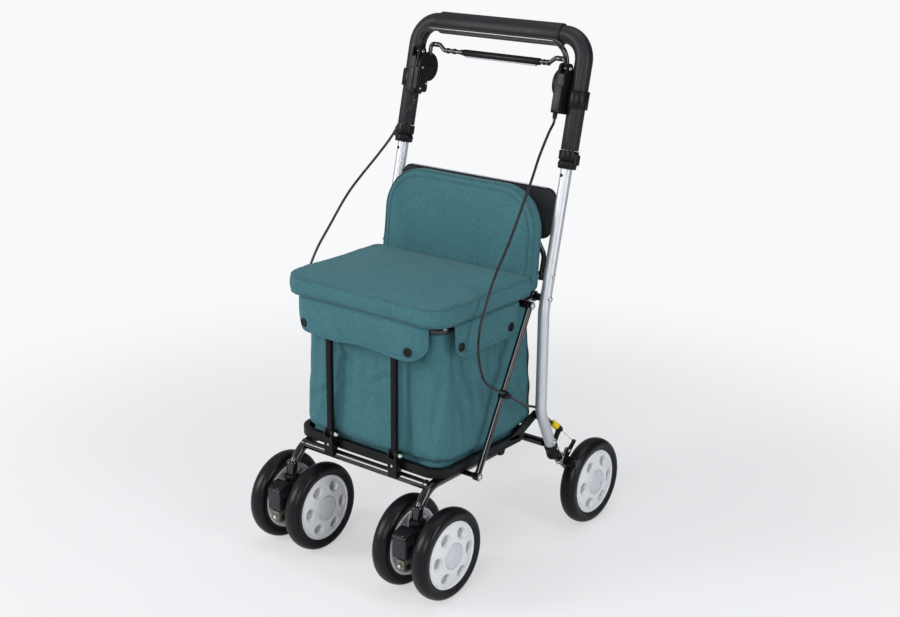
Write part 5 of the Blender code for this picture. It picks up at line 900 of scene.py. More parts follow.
box_outline = mm(-53, 94.5, -52.5, 94, -27.5, 94, -27, 94.5, -27, 140, -50, 132.2, -53, 130.8)
cap_outline = mm(-53.2, 130.6, -53.8, 132.6, -52.8, 134.8, -45, 140.2, -35, 144.4, -27, 145.2, -23, 144, -23, 136,
                 -50, 130.6)
cheek = mm(-48, 93.5, -32, 93.5, -32, 118, -48, 118)
web = mm(13.8, 100.3, 14.2, 128.5, -32, 136, -32, 90.2, -27.2, 90.2, -10, 100.3)
plate = mm(-50, 89.6, -50, 71.5, -47, 67.5, -40, 64.5, -33, 64.2, 12, 72.2, 30, 76.2, 35, 78, 38, 82.5, 38.5, 87.5,
           37.2, 93, 33.5, 97, 28, 98.6, 14, 99.6, -9.8, 99.6, -26.4, 89.6)
for side, s in SIDES:
    x = s * CASTER_X
    put = Matrix.Translation((x, SWIVEL_Y, 0))
    fork = Part(put)
    fork.add(lathe(mm(15, 118, 16, 119.2, 16, 137.5, 14.8, 139.5, 14.8, 142, 15.8, 143.2, 16, 145, 15.6, 149,
                      14.2, 151.2, 5.6, 151.2, 5.6, 118), 40, closed=True), PLASTIC)
    fork.add(slab(box_outline, -0.0155, 0.0155, 0.0013, segments=3), SATIN)
    fork.add(slab(cap_outline, -0.0163, 0.0163, 0.0012, segments=3), PLASTIC)
    for sign in (-1, 1):
        fork.add(slab(cheek, sign * 0.0164, sign * 0.0148, 0.0005), PLASTIC)
    fork.add(slab(web, -0.01, 0.01, 0.0008), PLASTIC)
    for sign in (-1, 1):
        fork.screw(0.0036, 0.0018, (x + sign * 0.016, SWIVEL_Y - 0.04, 0.1325), (sign, 0, 0), PLASTIC)
    fork.screw(0.003, 0.0016, (x + 0.006, SWIVEL_Y - 0.048, 0.1384), (0, -0.56, 0.83), ENAMEL)
    fork.done(f"caster_fork_{side}_moulding", f"caster_{side}", f"caster_fork_{side}", slot="plastic")

    carrier = Part(put)
    carrier.add(slab(plate, -0.0098, 0.0098, 0.001), BARE)
    carrier.add(rod(-0.0293, 0.0293, (0.0255, AXLE_Z), 0.009, 28, 0.0008), BARE)
    carrier.add(rod(-0.056, 0.056, (0.0255, AXLE_Z), 0.0049, 20), ZINC)
    for sign in (1, -1):
        carrier.screw(0.0055, 0.003, (x + sign * 0.01, SWIVEL_Y - 0.0385, 0.0745), (sign, 0, 0), POWDER)
    carrier.add(acorn_nut(0.0048, 0.007), ZINC, along((x + 0.0015, SWIVEL_Y - 0.05, 0.079), (0, -1, -0.25)))
    carrier.done(f"caster_carrier_{side}_plate", f"caster_{side}", f"caster_carrier_{side}", slot="bare")


# Side struts and cable clips
STRUT_RUN = (STRUT_TOP - STRUT_FOOT).normalized()
CLIP_SPOT = STRUT_FOOT + STRUT_RUN * ((0.345 - STRUT_FOOT.z) / STRUT_RUN.z)
CLIP_RUN = Vector((0, 0.84, -0.54)).normalized()
CABLE_X = 0.2106
for side, s in SIDES:
    out = s * UPRIGHT_X * X_AXIS
    strut = Part()
    strut.add(sweep([STRUT_FOOT + out, STRUT_TOP + out], 0.006, 28), ENAMEL)
    for end, bore in ((STRUT_TOP + out, 0.0047), (STRUT_FOOT + out, 0.0)):
        strut.add(sleeve(bore, 0.008, 0.0063, (0.0006, 0.0006), 28), ENAMEL, along(end, (s, 0, 0)))
        strut.add(lathe(mm(0, 0, 6.6, 0, 6.6, 0.8, 0, 0.8), 28), ZINC, along(end + s * 0.0062 * X_AXIS, (s, 0, 0)))
        strut.screw(0.005, 0.003, end + s * 0.0069 * X_AXIS, (s, 0, 0))
    strut.done(f"side_strut_{side}_tube", "struts", f"side_strut_{side}", slot="steel")
    clip = Part()
    for spot, half, radius, sides, ends in ((CLIP_SPOT + out, STRUT_RUN * 0.008, 0.0079, 32, 0.001),
                                            (CLIP_SPOT + s * CABLE_X * X_AXIS, CLIP_RUN * 0.0083, 0.0053, 28, 0.0008)):
        clip.add(sweep([spot - half, spot + half], radius, sides, ends), PLASTIC)
    clip.add(block((0, -0.007, -0.0068), (s * 0.01, 0.007, 0.0068), 0.0012), PLASTIC,
             Matrix.Translation(CLIP_SPOT + out) @ Matrix.Rotation(math.atan2(-STRUT_RUN.y, STRUT_RUN.z), 4, "X"))
    clip.done(f"cable_clip_{side}_moulding", "struts", f"cable_clip_{side}", slot="plastic")

# Rear legs, axles, brakes
DOWN = (FOOT - LOW_BEND).normalized()
REAR_AXLE = Vector((0, 0.215, AXLE_Z))
ARM_START = FOOT + DOWN * 0.01
ARM_RUN = (REAR_AXLE - ARM_START).normalized()
RING_SPOT = ARM_START + ARM_RUN * 0.04
ARM_PIVOT = Vector((0, 0.16, 0.1655))
LEVER_TIP = Vector((0, 0.178, 0.18))
ADJUSTER_SPOT = Vector((0.19, 0.1445, 0.2195))
ADJUSTER_RUN = Vector((0.092, 0.749, -0.657)).normalized()
TYRE_RADIUS, SHOE_GAP, SHOE_HALF = 0.0875, 0.0025, 0.0025
SHOE_ANGLE = math.radians(137.7)
reach = TYRE_RADIUS + SHOE_GAP + SHOE_HALF
SHOE = (REAR_AXLE.y + reach * math.cos(SHOE_ANGLE), AXLE_Z + reach * math.sin(SHOE_ANGLE))
barrel = mm(0, -11, 5, -11, 6.4, -10.2)
for ridge in range(8):
    base = -0.0098 + ridge * 0.0021
    barrel += [(0.007, base), (0.007, base + 0.001), (0.006, base + 0.0014), (0.006, base + 0.0018)]
barrel += mm(6.6, 6.8, 4.5, 7, 0, 7)
for side, s in SIDES:
    mirror = Matrix.Diagonal((s, 1, 1))
    out = s * UPRIGHT_X * X_AXIS
    leg = Part()
    leg.add(lathe(mm(11.4, 0, 12.8, 0, 13.5, 0.7, 13.7, 4, 13.5, 7.2, 13.1, 7.8, 13.1, 20.5, 13.5, 21.1, 13.5, 29,
                     12.8, 31, 10.2, 32, 0, 32, 0, 8, 11.4, 8), 40), PLASTIC,
            along(FOOT + out - DOWN * 0.006, DOWN))
    leg.add(sweep([ARM_START + out, REAR_AXLE + out], 0.0095, 28), ENAMEL)
    leg.add(lathe(mm(5.3, 0, 13.4, 0, 14.5, 1, 14.5, 20.2, 13.6, 21.2,
                     5.3, 21.2), 36, closed=True), PLASTIC, along(REAR_AXLE + s * 0.1905 * X_AXIS, (s, 0, 0)))
    point = mirror @ ADJUSTER_SPOT
    run = mirror @ ADJUSTER_RUN
    leg.add(lathe(mm(3.2, 7.3, 6, 7.3, 6.6, 8, 6.6, 21, 5.8, 22.8, 4, 23.6, 0, 23.6), 28), PLASTIC, along(point, run))
    stop_end = point + run * 0.0183
    neck = FOOT + out + DOWN * 0.006
    leg.add(sweep([stop_end - Vector((0, 0.001, 0)), stop_end.lerp(neck, 0.35) - DOWN * 0.001, neck],
                  [0.0058, 0.005, 0.0062], 24), PLASTIC)
    face = FOOT + out - DOWN * 0.014 + s * 0.0112 * X_AXIS
    leg.add(lathe(mm(0, -4, 6.6, -4, 6.6, 0, 0, 0), 28), ZINC, along(face, (s, 0, 0)))
    leg.add(star_washer(0.0072, 0.0012), ZINC, along(face, (s, 0, 0)))
    leg.screw(0.005, 0.003, face + s * 0.0011 * X_AXIS, (s, 0, 0))
    leg.screw(0.003, 0.0016, FOOT + out + DOWN * 0.004 + Vector((s * 0.013, 0.003, 0)), (s, 0, 0))
    leg.done(f"rear_leg_{side}_tube", "frame", f"rear_leg_{side}", slot="steel")

    adjuster = Part()
    adjuster.add(lathe(barrel, 28), YELLOW, along(point, run))
    adjuster.done(f"cable_adjuster_{side}_barrel", "frame", f"cable_adjuster_{side}", angle=30, slot="yellow")

    axle = Part()
    axle.add(rod(s * 0.1856, s * 0.2385, REAR_AXLE, 0.0049, 20), ZINC)
    head = bmesh.new()
    bmesh.ops.create_cone(head, cap_ends=True, segments=6, radius1=0.0085, radius2=0.0085, depth=0.005)
    axle.add(rounded(head, 0.0005, 2), ZINC, along((s * 0.1877, *REAR_AXLE.yz), (s, 0, 0)))
    axle.done(f"rear_axle_{side}_bolt", "frame", f"rear_axle_{side}", slot="zinc")

    bracket = Part()
    ring_spot = RING_SPOT + out
    bracket.add(sleeve(0.0099, 0.0111, 0.0065, (0.0005, 0.0006), 36), ZINC, along(ring_spot, ARM_RUN))
    outline = belt([(*RING_SPOT.yz, 0.006), (*ARM_PIVOT.yz, 0.0065)])
    bracket.add(slab(outline, s * 0.2072, s * 0.2111, 0.0005), ZINC)
    bracket.add(rod(s * 0.208, s * 0.2164, ARM_PIVOT, 0.0029, 16), ZINC)
    bracket.screw(0.0042, 0.0018, (s * 0.2164, *ARM_PIVOT.yz), (s, 0, 0))
    square = ARM_RUN.cross(X_AXIS).normalized()
    bracket.screw(0.004, 0.0024, ring_spot + square * 0.0108, square)
    bracket.done(f"brake_bracket_{side}_clamp", "frame", f"brake_bracket_{side}", slot="zinc")

    arm = Part()
    arm.add(slab(belt([(*ARM_PIVOT.yz, 0.0065), (*SHOE, 0.0023)]), s * 0.2114, s * 0.2164, 0.0006), ENAMEL)
    arm.add(slab(belt([(*ARM_PIVOT.yz, 0.006), (*LEVER_TIP.yz, 0.0038)]), s * 0.2118, s * 0.216, 0.0006), ENAMEL)
    arm.add(rod(s * 0.21, s * 0.2168, LEVER_TIP, 0.0034, 20, 0.0005), ENAMEL)
    arm.add(block((s * 0.2146, -0.01, -SHOE_HALF), (s * 0.245, 0.01, SHOE_HALF), 0.0012), ENAMEL,
            Matrix.Translation((0, *SHOE)) @ Matrix.Rotation(SHOE_ANGLE - math.pi / 2, 4, "X"))
    arm.done(f"brake_arm_{side}_lever", f"brake_arm_{side}", f"brake_arm_{side}", slot="steel")

    wire = Part()
    start = point + run * 0.023
    end = Vector((s * 0.2118, *LEVER_TIP.yz))
    wire.add(sweep([start.lerp(end, i / 14) for i in range(15)], 0.0008, 10), ZINC)
    held = wire.done(f"brake_wire_{side}", None, slot="zinc")
    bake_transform(held)

for name, material in (("tray_floor", PLASTIC), ("seat_board", BOARD)):
    for holder in frame["nodes"][name].material_slots:
        holder.material = material


# Sewn parts
BASE_HEIGHT = 0.0005


def rounded_plan(u, v, half_u, half_v, high_corner, low_corner, pull=0.0):
    """Point of a rounded rectangle whose sides pull in a little between their corners."""
    ring = max(abs(u), abs(v))
    if ring < 1e-6:
        return 0.0, 0.0
    corner = ring * (high_corner if v > 0 else low_corner)
    x = u * half_u * (1 - pull / half_u * (1 - v * v) * abs(u))
    y = v * half_v * (1 - pull / half_v * (1 - u * u) * abs(v))
    over_x = abs(x) - (half_u * ring - corner)
    over_y = abs(y) - (half_v * ring - corner)
    if over_x > 0 and over_y > 0:
        reach = max(over_x, over_y)
        length = math.hypot(over_x, over_y)
        x -= math.copysign(over_x - reach * over_x / length, x)
        y -= math.copysign(over_y - reach * over_y / length, y)
    return x, y


def border(columns, rows):
    """Grid indices round the edge of a grid, in order."""
    around = [(i, 0) for i in range(columns)] + [(columns, j) for j in range(rows)]
    return around + [(i, rows) for i in range(columns, 0, -1)] + [(0, j) for j in range(rows, 0, -1)]


def fill(bm, grid, columns, rows):
    """Faces between the points of a grid."""
    for i in range(columns):
        for j in range(rows):
            bm.faces.new((grid[i, j], grid[i + 1, j], grid[i + 1, j + 1], grid[i, j + 1]))


def pillow(half_u, half_v, high_corner, low_corner, pull, thick, crown, belly, cells):
    """Closed padded form over a rounded rectangle: its mesh, its two seams' places and the points to hold."""
    columns, rows, layers = cells
    bm = bmesh.new()
    faces = []
    for height, rise in ((0.0, 0.0), (thick, crown)):
        grid = {}
        for i in range(columns + 1):
            for j in range(rows + 1):
                u, v = 2 * i / columns - 1, 2 * j / rows - 1
                x, y = rounded_plan(u, v, half_u, half_v, high_corner, low_corner, pull)
                swell = (1 - u * u) ** 0.8 * (1 - v * v) ** 0.8
                grid[i, j] = bm.verts.new((x, y, height + rise * swell))
        faces.append(grid)
        fill(bm, grid, columns, rows)
    seams = [[grid[key] for key in border(columns, rows)] for grid in faces]
    count = len(seams[0])
    levels = [seams[0]]
    for layer in range(1, layers):
        share = layer / layers
        level = []
        for index in range(count):
            low, high = seams[0][index].co, seams[1][index].co
            ahead = seams[0][(index + 1) % count].co - seams[0][index - 1].co
            outward = Vector((ahead.y, -ahead.x, 0)).normalized()
            level.append(bm.verts.new(low.lerp(high, share) + outward * belly * math.sin(math.pi * share)))
        levels.append(level)
    levels.append(seams[1])
    for first, second in zip(levels, levels[1:]):
        bridge(bm, first, second)
    bmesh.ops.recalc_face_normals(bm, faces=bm.faces)
    bm.verts.index_update()
    held = {vert.index for vert in bm.verts if vert.co.z < BASE_HEIGHT}
    held.update(vert.index for seam in seams for vert in seam)
    return bm, [[vert.co.copy() for vert in seam] for seam in seams], held


def simulate(bm, held, pressure, cap, growth=0.0, frames=18, gravity=0.0, stiffness=12.0, bending=0.6, limit=None):
    """Cloth run on the mesh with some points held; no point moves further than the cap. Gives the moved mesh."""
    mesh = mesh_of(bm, "cloth")
    obj = linked("cloth", mesh)
    group = obj.vertex_groups.new(name="held")
    group.add(sorted(held), 1.0, "REPLACE")
    cloth = obj.modifiers.new("cloth", "CLOTH")
    facts = cloth.settings
    facts.quality = 6
    facts.mass = 0.15
    facts.tension_stiffness = stiffness
    facts.compression_stiffness = stiffness
    facts.shear_stiffness = stiffness * 0.4
    facts.bending_stiffness = bending
    facts.air_damping = 3.0
    facts.use_pressure = pressure != 0
    facts.uniform_pressure_force = pressure
    facts.vertex_group_mass = "held"
    facts.pin_stiffness = 1.0
    facts.shrink_min = -growth
    facts.effector_weights.gravity = gravity
    cloth.collision_settings.use_collision = False
    cloth.point_cache.frame_start = 1
    cloth.point_cache.frame_end = frames
    rest = [vert.co.copy() for vert in mesh.vertices]
    for step in range(1, frames + 1):
        SCENE.frame_set(step)
    evaluated = obj.evaluated_get(bpy.context.evaluated_depsgraph_get())
    moved = [vert.co.copy() for vert in evaluated.data.vertices]
    SCENE.frame_set(1)
    obj.modifiers.remove(cloth)
    for vert, was, now in zip(mesh.vertices, rest, moved):
        move = now - was
        if move.length > 1e-9:
            move *= cap * math.tanh(move.length / cap) / move.length
        vert.co = limit(was, was + move) if limit else was + move
    bpy.data.objects.remove(obj)
    made = bmesh.new()
    made.from_mesh(mesh)
    bpy.data.meshes.remove(mesh)
    return made


def modified(bm, kind, **settings):
    """The mesh as a modifier leaves it."""
    mesh = mesh_of(bm)
    obj = linked("modified", mesh)
    modifier = obj.modifiers.new("modified", kind)
    for key, value in settings.items():
        setattr(modifier, key, value)
    bpy.context.view_layer.update()
    fine = bpy.data.meshes.new_from_object(obj.evaluated_get(bpy.context.evaluated_depsgraph_get()))
    made = bmesh.new()
    made.from_mesh(fine)
    bpy.data.objects.remove(obj)
    bpy.data.meshes.remove(mesh)
    bpy.data.meshes.remove(fine)
    return made


def subdivided(bm):
    """The mesh after one step of Catmull-Clark subdivision."""
    return modified(bm, "SUBSURF", levels=1, render_levels=1)


def pucker(bm, loop, depth, reach, wave, seed):
    """Gathers beside a seam: shallow ripples square to it that die away from it."""
    tree = KDTree(len(loop))
    walked = [0.0]
    for index, point in enumerate(loop):
        tree.insert(point, index)
        if index:
            walked.append(walked[-1] + (point - loop[index - 1]).length)
    tree.balance()
    bm.normal_update()
    moves = []
    for vert in bm.verts:
        _, index, away = tree.find(vert.co)
        if away < reach * 4:
            place = walked[index]
            local = noise.noise(Vector((place * 9, seed, 0)))
            phase = place / wave * 2 * math.pi + 3.0 * noise.noise(Vector((place * 14, 0, seed)))
            strength = depth * max(0.0, 0.45 + 1.1 * local) * math.exp(-away / reach) * min(1.0, away / 0.003)
            moves.append((vert, vert.normal * strength * math.sin(phase)))
    for vert, move in moves:
        vert.co += move


def crumple(bm, depth, scale, seed, where=None):
    """Soft uneven surface: slow noise along the normals."""
    bm.normal_update()
    for vert, normal in [(vert, vert.normal.copy()) for vert in bm.verts]:
        spot = vert.co * scale + Vector((seed, seed * 0.7, -seed))
        amount = noise.noise(spot) + 0.5 * noise.noise(spot * 2.3)
        share = where(vert.co) if where else 1.0
        vert.co += normal * amount * depth * share


def stitches(points, normals, length=0.0026, gap=0.0016, radius=0.00035, closed=False):
    """Row of thread dashes that lie on a surface along the points."""
    bm = bmesh.new()
    points = [Vector(p) for p in points]
    if closed:
        points = points + [points[0]]
        normals = list(normals) + [normals[0]]
    walked = 0.0
    target = gap
    for index in range(len(points) - 1):
        start, end = points[index], points[index + 1]
        run = (end - start).length
        while run > 1e-9 and walked + run >= target + length:
            share = (target - walked) / run
            spot = start.lerp(end, max(0.0, min(1.0, share)))
            ahead = (end - start).normalized()
            normal = Vector(normals[index]).lerp(Vector(normals[index + 1]), max(0.0, min(1.0, share))).normalized()
            side = ahead.cross(normal).normalized()
            ends = []
            for along_run, size in ((0.0, 0.35), (0.22, 1.0), (0.78, 1.0), (1.0, 0.35)):
                centre_point = spot + ahead * length * along_run
                ends.append([bm.verts.new(centre_point + (side * math.cos(a) + normal * math.sin(a)) * radius * size)
                             for a in (0.0, math.pi / 2, math.pi, 3 * math.pi / 2)])
            for first, second in zip(ends, ends[1:]):
                bridge(bm, first, second)
            bm.faces.new(ends[0][::-1])
            bm.faces.new(ends[-1])
            target += length + gap
        walked += run
    return bm


def resting_on(bm, points, lift=0.0):
    """Nearest points of a mesh, lifted off its surface, and the normals there."""
    tree = BVHTree.FromBMesh(bm)
    places, normals = [], []
    for point in points:
        spot, normal, _, _ = tree.find_nearest(point)
        places.append(spot + normal * lift)
        normals.append(normal)
    return places, normals


def piped(part, bm, loop, radius, drop=0.0):
    """Piping half sunk into a seam."""
    track, _ = resting_on(bm, loop, 0.0002)
    part.add(sweep([p * 0.5 + q * 0.5 + Vector((0, 0, drop)) for p, q in zip(track, loop)], radius, 10, closed=True),
             PIPING)


def stitched(part, bm, points, lift=0.00015, **settings):
    """Closed row of stitches on a mesh, along the points."""
    part.add(stitches(*resting_on(bm, points, lift), closed=True, **settings), THREAD)


def above_base(was, now):
    """Keep a point from sinking below its cushion's base."""
    return Vector((now.x, now.y, max(now.z, 0.0)))


# Seat cushion: boxed, crowned, both seams piped; three flaps hang from its lower edge
CUSHION_FRONT, CUSHION_REAR, CUSHION_BOTTOM = -0.2205, 0.055, 0.5107
cushion_bm, loops, held = pillow(0.1916, (CUSHION_REAR - CUSHION_FRONT) / 2, 0.013, 0.046, 0.003, 0.0345, 0.0085,
                                 0.003, (66, 48, 7))
cushion_bm = simulate(cushion_bm, held, 5.0, 0.0055, growth=0.012, limit=above_base)
crumple(cushion_bm, 0.0024, 11, 3.1, lambda p: min(1.0, p.z / 0.01))
pucker(cushion_bm, loops[1], 0.0013, 0.012, 0.024, 5.0)
pucker(cushion_bm, loops[0], 0.001, 0.009, 0.019, 9.0)
cushion_bm = subdivided(cushion_bm)
put = Matrix.Translation((0, (CUSHION_FRONT + CUSHION_REAR) / 2, CUSHION_BOTTOM))
cushion = Part(put)
piped(cushion, cushion_bm, loops[0], 0.0021, 0.0016)
piped(cushion, cushion_bm, loops[1], 0.0015, -0.0011)
for out, drop in ((-0.005, 0.0), (0.004, -0.0042)):
    stitched(cushion, cushion_bm, [p + Vector((0, 0, drop)) + Vector((p.x, p.y, 0)).normalized() * out
                                   for p in loops[1]])
cushion.add(cushion_bm, CLOTH)


def flap(place_point, width, drop, corner, cells, studs, thick=0.0022):
    """Hanging flap: rounded lower corners, raised hem, two stitched rows, two snap caps at (across, up).
    place_point(a, b) gives a point of its outer face and the normal there."""
    columns, rows = cells
    flat = {(i, j): rounded_plan(2 * i / columns - 1, 2 * j / rows - 1, width / 2, drop / 2, 0.001, corner)
            for i in range(columns + 1) for j in range(rows + 1)}
    rim = border(columns, rows)
    hem = [flat[key] for key in rim if flat[key][1] < drop / 2 - HEM_END]
    bm = bmesh.new()
    grids = []
    for outer in (True, False):
        grid = {}
        for key, (a, b) in flat.items():
            away = min(math.hypot(a - c, b - d) for c, d in hem)
            here, normal = place_point(a, b)
            lift = 0.0007 if away < 0.0078 else 0.0
            lift -= 0.0011 * max(0.0, 1 - abs(away - 0.0086) / 0.0022)
            fall = 1.0 if away > 0.003 else 0.35 + 0.65 * away / 0.003
            grid[key] = bm.verts.new(here + normal * (lift * fall if outer else -thick))
        grids.append(grid)
        fill(bm, grid, columns, rows)
    bridge(bm, [grids[0][key] for key in rim], [grids[1][key] for key in rim])
    bmesh.ops.recalc_face_normals(bm, faces=bm.faces)
    part = Part()
    part.add(bm, CLOTH)
    for distance in (0.0032, 0.007):
        half_w, half_d = width / 2 - distance, drop / 2 - distance
        radius = max(0.001, corner - distance)
        path = [(-half_w, drop / 2 - HEM_END), *arc((radius - half_w, radius - half_d), radius, range(180, 271, 9)),
                *arc((half_w - radius, radius - half_d), radius, range(270, 361, 9)), (half_w, drop / 2 - HEM_END)]
        row = []
        for (a0, b0), (a1, b1) in zip(path, path[1:]):
            count = max(1, int(math.hypot(a1 - a0, b1 - b0) / 0.004))
            row += [place_point(a0 + (a1 - a0) * k / count, b0 + (b1 - b0) * k / count) for k in range(count)]
        part.add(stitches([here + normal * 0.0006 for here, normal in row], [normal for _, normal in row]), THREAD)
    for sign in (-1, 1):
        spot, normal = place_point(sign * studs[0], studs[1])
        part.add(lathe(STUD, 32), PLASTIC, along(spot + normal * 0.0002, normal))
    return part


HEM_END = 0.004
STUD = mm(0, 1, 3.87, 1, 5.332, 1.7, 6.88, 2.4, 8.084, 2, 8.6, 1, 8.428, 0, 0, 0)


def front_face(a, b):
    """Outer face of the front flap: it curves out from under the cushion, then hangs in soft waves."""
    t = min(1.0, max(0.0, (0.034 - b) / 0.068))
    wave = 0.0028 * math.sin(a * 34 + 0.6) + 0.0014 * math.sin(a * 83 + 2.0)
    wave += 0.0022 * noise.noise(Vector((a * 22, b * 14, 1)))
    tuck = 0.012 * max(0.0, 1 - t / 0.14) ** 2
    round_corner = 0.02 * max(0.0, (abs(a) - 0.12) / 0.04) ** 2
    y = -0.2262 + tuck + round_corner - 0.0022 * math.sin(math.pi * t) + wave * (0.3 + 0.7 * t) * (t > 0.02)
    slope = 2 * 0.02 * max(0.0, abs(a) - 0.12) / 0.04 ** 2
    normal = Vector((math.copysign(slope, a), -1.0, -0.05)).normalized()
    return Vector((a, y, 0.4785 + b + 0.0016 * math.sin(a * 41 + 1.0) * t)), normal


front_flap = flap(front_face, 0.318, 0.066, 0.03, (120, 26), (0.128, -0.016)).done(
    "cushion_flap_front", "lid", angle=60, slot="fabric")

for side, s in SIDES:
    def side_face(a, b, s=s):
        """Outer face of a side flap: out from under the cushion, then down in soft waves."""
        t = min(1.0, max(0.0, (0.0335 - b) / 0.067))
        skew = 0.016 * (1 - t) * (1.0 if a > 0 else 0.25) * min(1.0, abs(a) / 0.09)
        wave = 0.0019 * math.sin(a * 47 + 1.1 + s) + 0.0015 * noise.noise(Vector((a * 25, b * 15, 4 + s)))
        tuck = 0.01 * max(0.0, 1 - t / 0.14) ** 2
        x = s * (0.188 - tuck + wave * t + 0.0012 * math.sin(math.pi * t))
        point = Vector((x, -0.08 + a + math.copysign(skew, a), 0.4775 + b + 0.0014 * math.sin(a * 56 + s) * t))
        return point, Vector((s, 0, -0.04)).normalized()

    side_flap = flap(side_face, 0.172, 0.065, 0.024, (66, 26), (0.071, -0.013)).done(
        f"cushion_flap_{side}", "lid", angle=60, slot="fabric")

seat_pad = cushion.done("cushion_padded", "lid", "seat_cushion", angle=60, slot="fabric")
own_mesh(seat_pad)

# Backrest pad: thinner, wide upper corners, bound edge with a stitched border
PAD_HEIGHT = 0.2 / math.cos(PAD_LEAN)
pad_bm, loops, held = pillow(0.184, PAD_HEIGHT / 2 - 0.0035, 0.088, 0.014, 0.002, 0.0205, 0.005, 0.0015, (64, 36, 5))
pad_bm = simulate(pad_bm, held, 4.0, 0.0045, growth=0.012)
crumple(pad_bm, 0.0011, 15, 7.7, lambda p: min(1.0, max(0.0, p.z) / 0.01))
pucker(pad_bm, loops[1], 0.0012, 0.012, 0.02, 2.0)
foot_line = [p for p in loops[1] if p.y < -PAD_HEIGHT / 2 + 0.004]
pucker(pad_bm, foot_line, 0.0036, 0.018, 0.024, 6.0)
pad_bm = subdivided(pad_bm)
PAD_PUT = (Matrix.Translation((0, 0.059, 0.512)) @ Matrix.Rotation(-PAD_LEAN, 4, "X")
           @ Matrix.Translation((0, 0.0215, PAD_HEIGHT / 2 - 0.0025)) @ Matrix.Rotation(math.pi / 2, 4, "X"))
pad = Part(PAD_PUT)
piped(pad, pad_bm, loops[0], 0.0018)
piped(pad, pad_bm, loops[1], 0.0019)
inset = []
for index, point in enumerate(loops[1]):
    ahead = loops[1][(index + 1) % len(loops[1])] - loops[1][index - 1]
    inset.append(point + Vector((-ahead.y, ahead.x, 0)).normalized() * 0.0125)
pad.add(sweep(resting_on(pad_bm, inset, 0.0002)[0], 0.001, 8, closed=True), PIPING)
stitched(pad, pad_bm, [point + (inner - point) * 0.74 for point, inner in zip(loops[1], inset)],
         radius=0.00045)
pad.add(pad_bm, CLOTH)
back_pad = pad.done("backrest_pad_padded", "frame", "backrest_pad", angle=60, slot="fabric")
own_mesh(back_pad)


def crease(bm, start, end, depth, width):
    """Fold pressed into cloth along a line: a valley with a soft ridge on one side, fading at its ends."""
    start, end = Vector(start), Vector(end)
    run = end - start
    bm.normal_update()
    for vert, normal in [(vert, vert.normal.copy()) for vert in bm.verts]:
        share = (vert.co - start).dot(run) / run.length_squared
        if not -0.2 < share < 1.2:
            continue
        off = vert.co - (start + run * share)
        if off.length > width * 5:
            continue
        across = off.dot(normal.cross(run).normalized()) / width
        fade = max(0.0, math.sin(math.pi * min(1.0, max(0.0, (share + 0.2) / 1.4))))
        fade *= math.exp(-(off.dot(normal) / 0.02) ** 2)
        vert.co += normal * depth * fade * (0.8 * math.exp(-(across - 1.6) ** 2) - math.exp(-across ** 2))


# Bag; a crease runs from a point to a point and has a depth and a width
BAG_CREASES = [((-0.12, -0.197, 0.43), (-0.02, -0.197, 0.39), 0.0043, 0.009),
               ((0.00, -0.197, 0.36), (0.09, -0.197, 0.41), 0.0038, 0.008),
               ((-0.15, -0.197, 0.3), (-0.06, -0.197, 0.35), 0.0032, 0.009),
               ((0.165, -0.175, 0.43), (0.15, -0.19, 0.28), 0.0049, 0.008),
               ((0.175, -0.15, 0.44), (0.176, -0.12, 0.31), 0.0049, 0.01),
               ((0.176, -0.04, 0.44), (0.178, 0.085, 0.3), 0.0049, 0.009),
               ((0.178, 0.09, 0.27), (0.176, -0.03, 0.34), 0.0038, 0.009),
               ((0.176, 0.02, 0.46), (0.178, 0.09, 0.36), 0.0041, 0.008),
               ((-0.176, 0.07, 0.44), (-0.178, -0.06, 0.31), 0.0043, 0.01),
               ((-0.176, -0.12, 0.45), (-0.178, -0.16, 0.3), 0.0043, 0.009),
               ((-0.1, 0.097, 0.45), (0.03, 0.099, 0.3), 0.0041, 0.01),
               ((0.13, 0.097, 0.44), (0.07, 0.099, 0.28), 0.0041, 0.01)]
BAG_LOW, BAG_HIGH = 0.224, 0.4868


def bag_section(z):
    """Half width, front, rear and corner radius of the bag at a height."""
    share = (z - BAG_LOW) / (BAG_HIGH - BAG_LOW)
    foot = min(1.0, max(0.0, (z - 0.237) / 0.026))
    foot = foot * foot * (3 - 2 * foot)
    return (0.1665 + 0.0065 * foot - 0.009 * share, -0.1885 - 0.0065 * foot + 0.008 * share,
            0.062 + 0.036 * foot - 0.004 * share, 0.035)


bag_columns, bag_rows = 232, 52
bag_bm = bmesh.new()
bag_levels = []
for j in range(bag_rows + 1):
    z = BAG_LOW + (BAG_HIGH - BAG_LOW) * j / bag_rows
    half_x, front, rear, corner = bag_section(z)
    points = plan_ring(half_x, front, rear, corner, 12)
    lengths = [0.0]
    for a, b in zip(points, points[1:] + points[:1]):
        lengths.append(lengths[-1] + math.hypot(b[0] - a[0], b[1] - a[1]))
    level = []
    k = 0
    for i in range(bag_columns):
        target = lengths[-1] * i / bag_columns
        while lengths[k + 1] < target:
            k += 1
        share = (target - lengths[k]) / (lengths[k + 1] - lengths[k])
        a, b = points[k], points[(k + 1) % len(points)]
        level.append(bag_bm.verts.new((a[0] + (b[0] - a[0]) * share, a[1] + (b[1] - a[1]) * share, z)))
    bag_levels.append(level)
for first, second in zip(bag_levels, bag_levels[1:]):
    bridge(bag_bm, first, second)
bmesh.ops.recalc_face_normals(bag_bm, faces=bag_bm.faces)
bag_bm.verts.index_update()
for depth, scale, seed in ((0.0016, 10, 4.2), (0.001, 34, 8.4)):
    crumple(bag_bm, depth, scale, seed, lambda p: math.sin(math.pi * (p.z - BAG_LOW) / (BAG_HIGH - BAG_LOW)))
held = {vert.index for level in bag_levels[:2] + bag_levels[-2:] for vert in level}


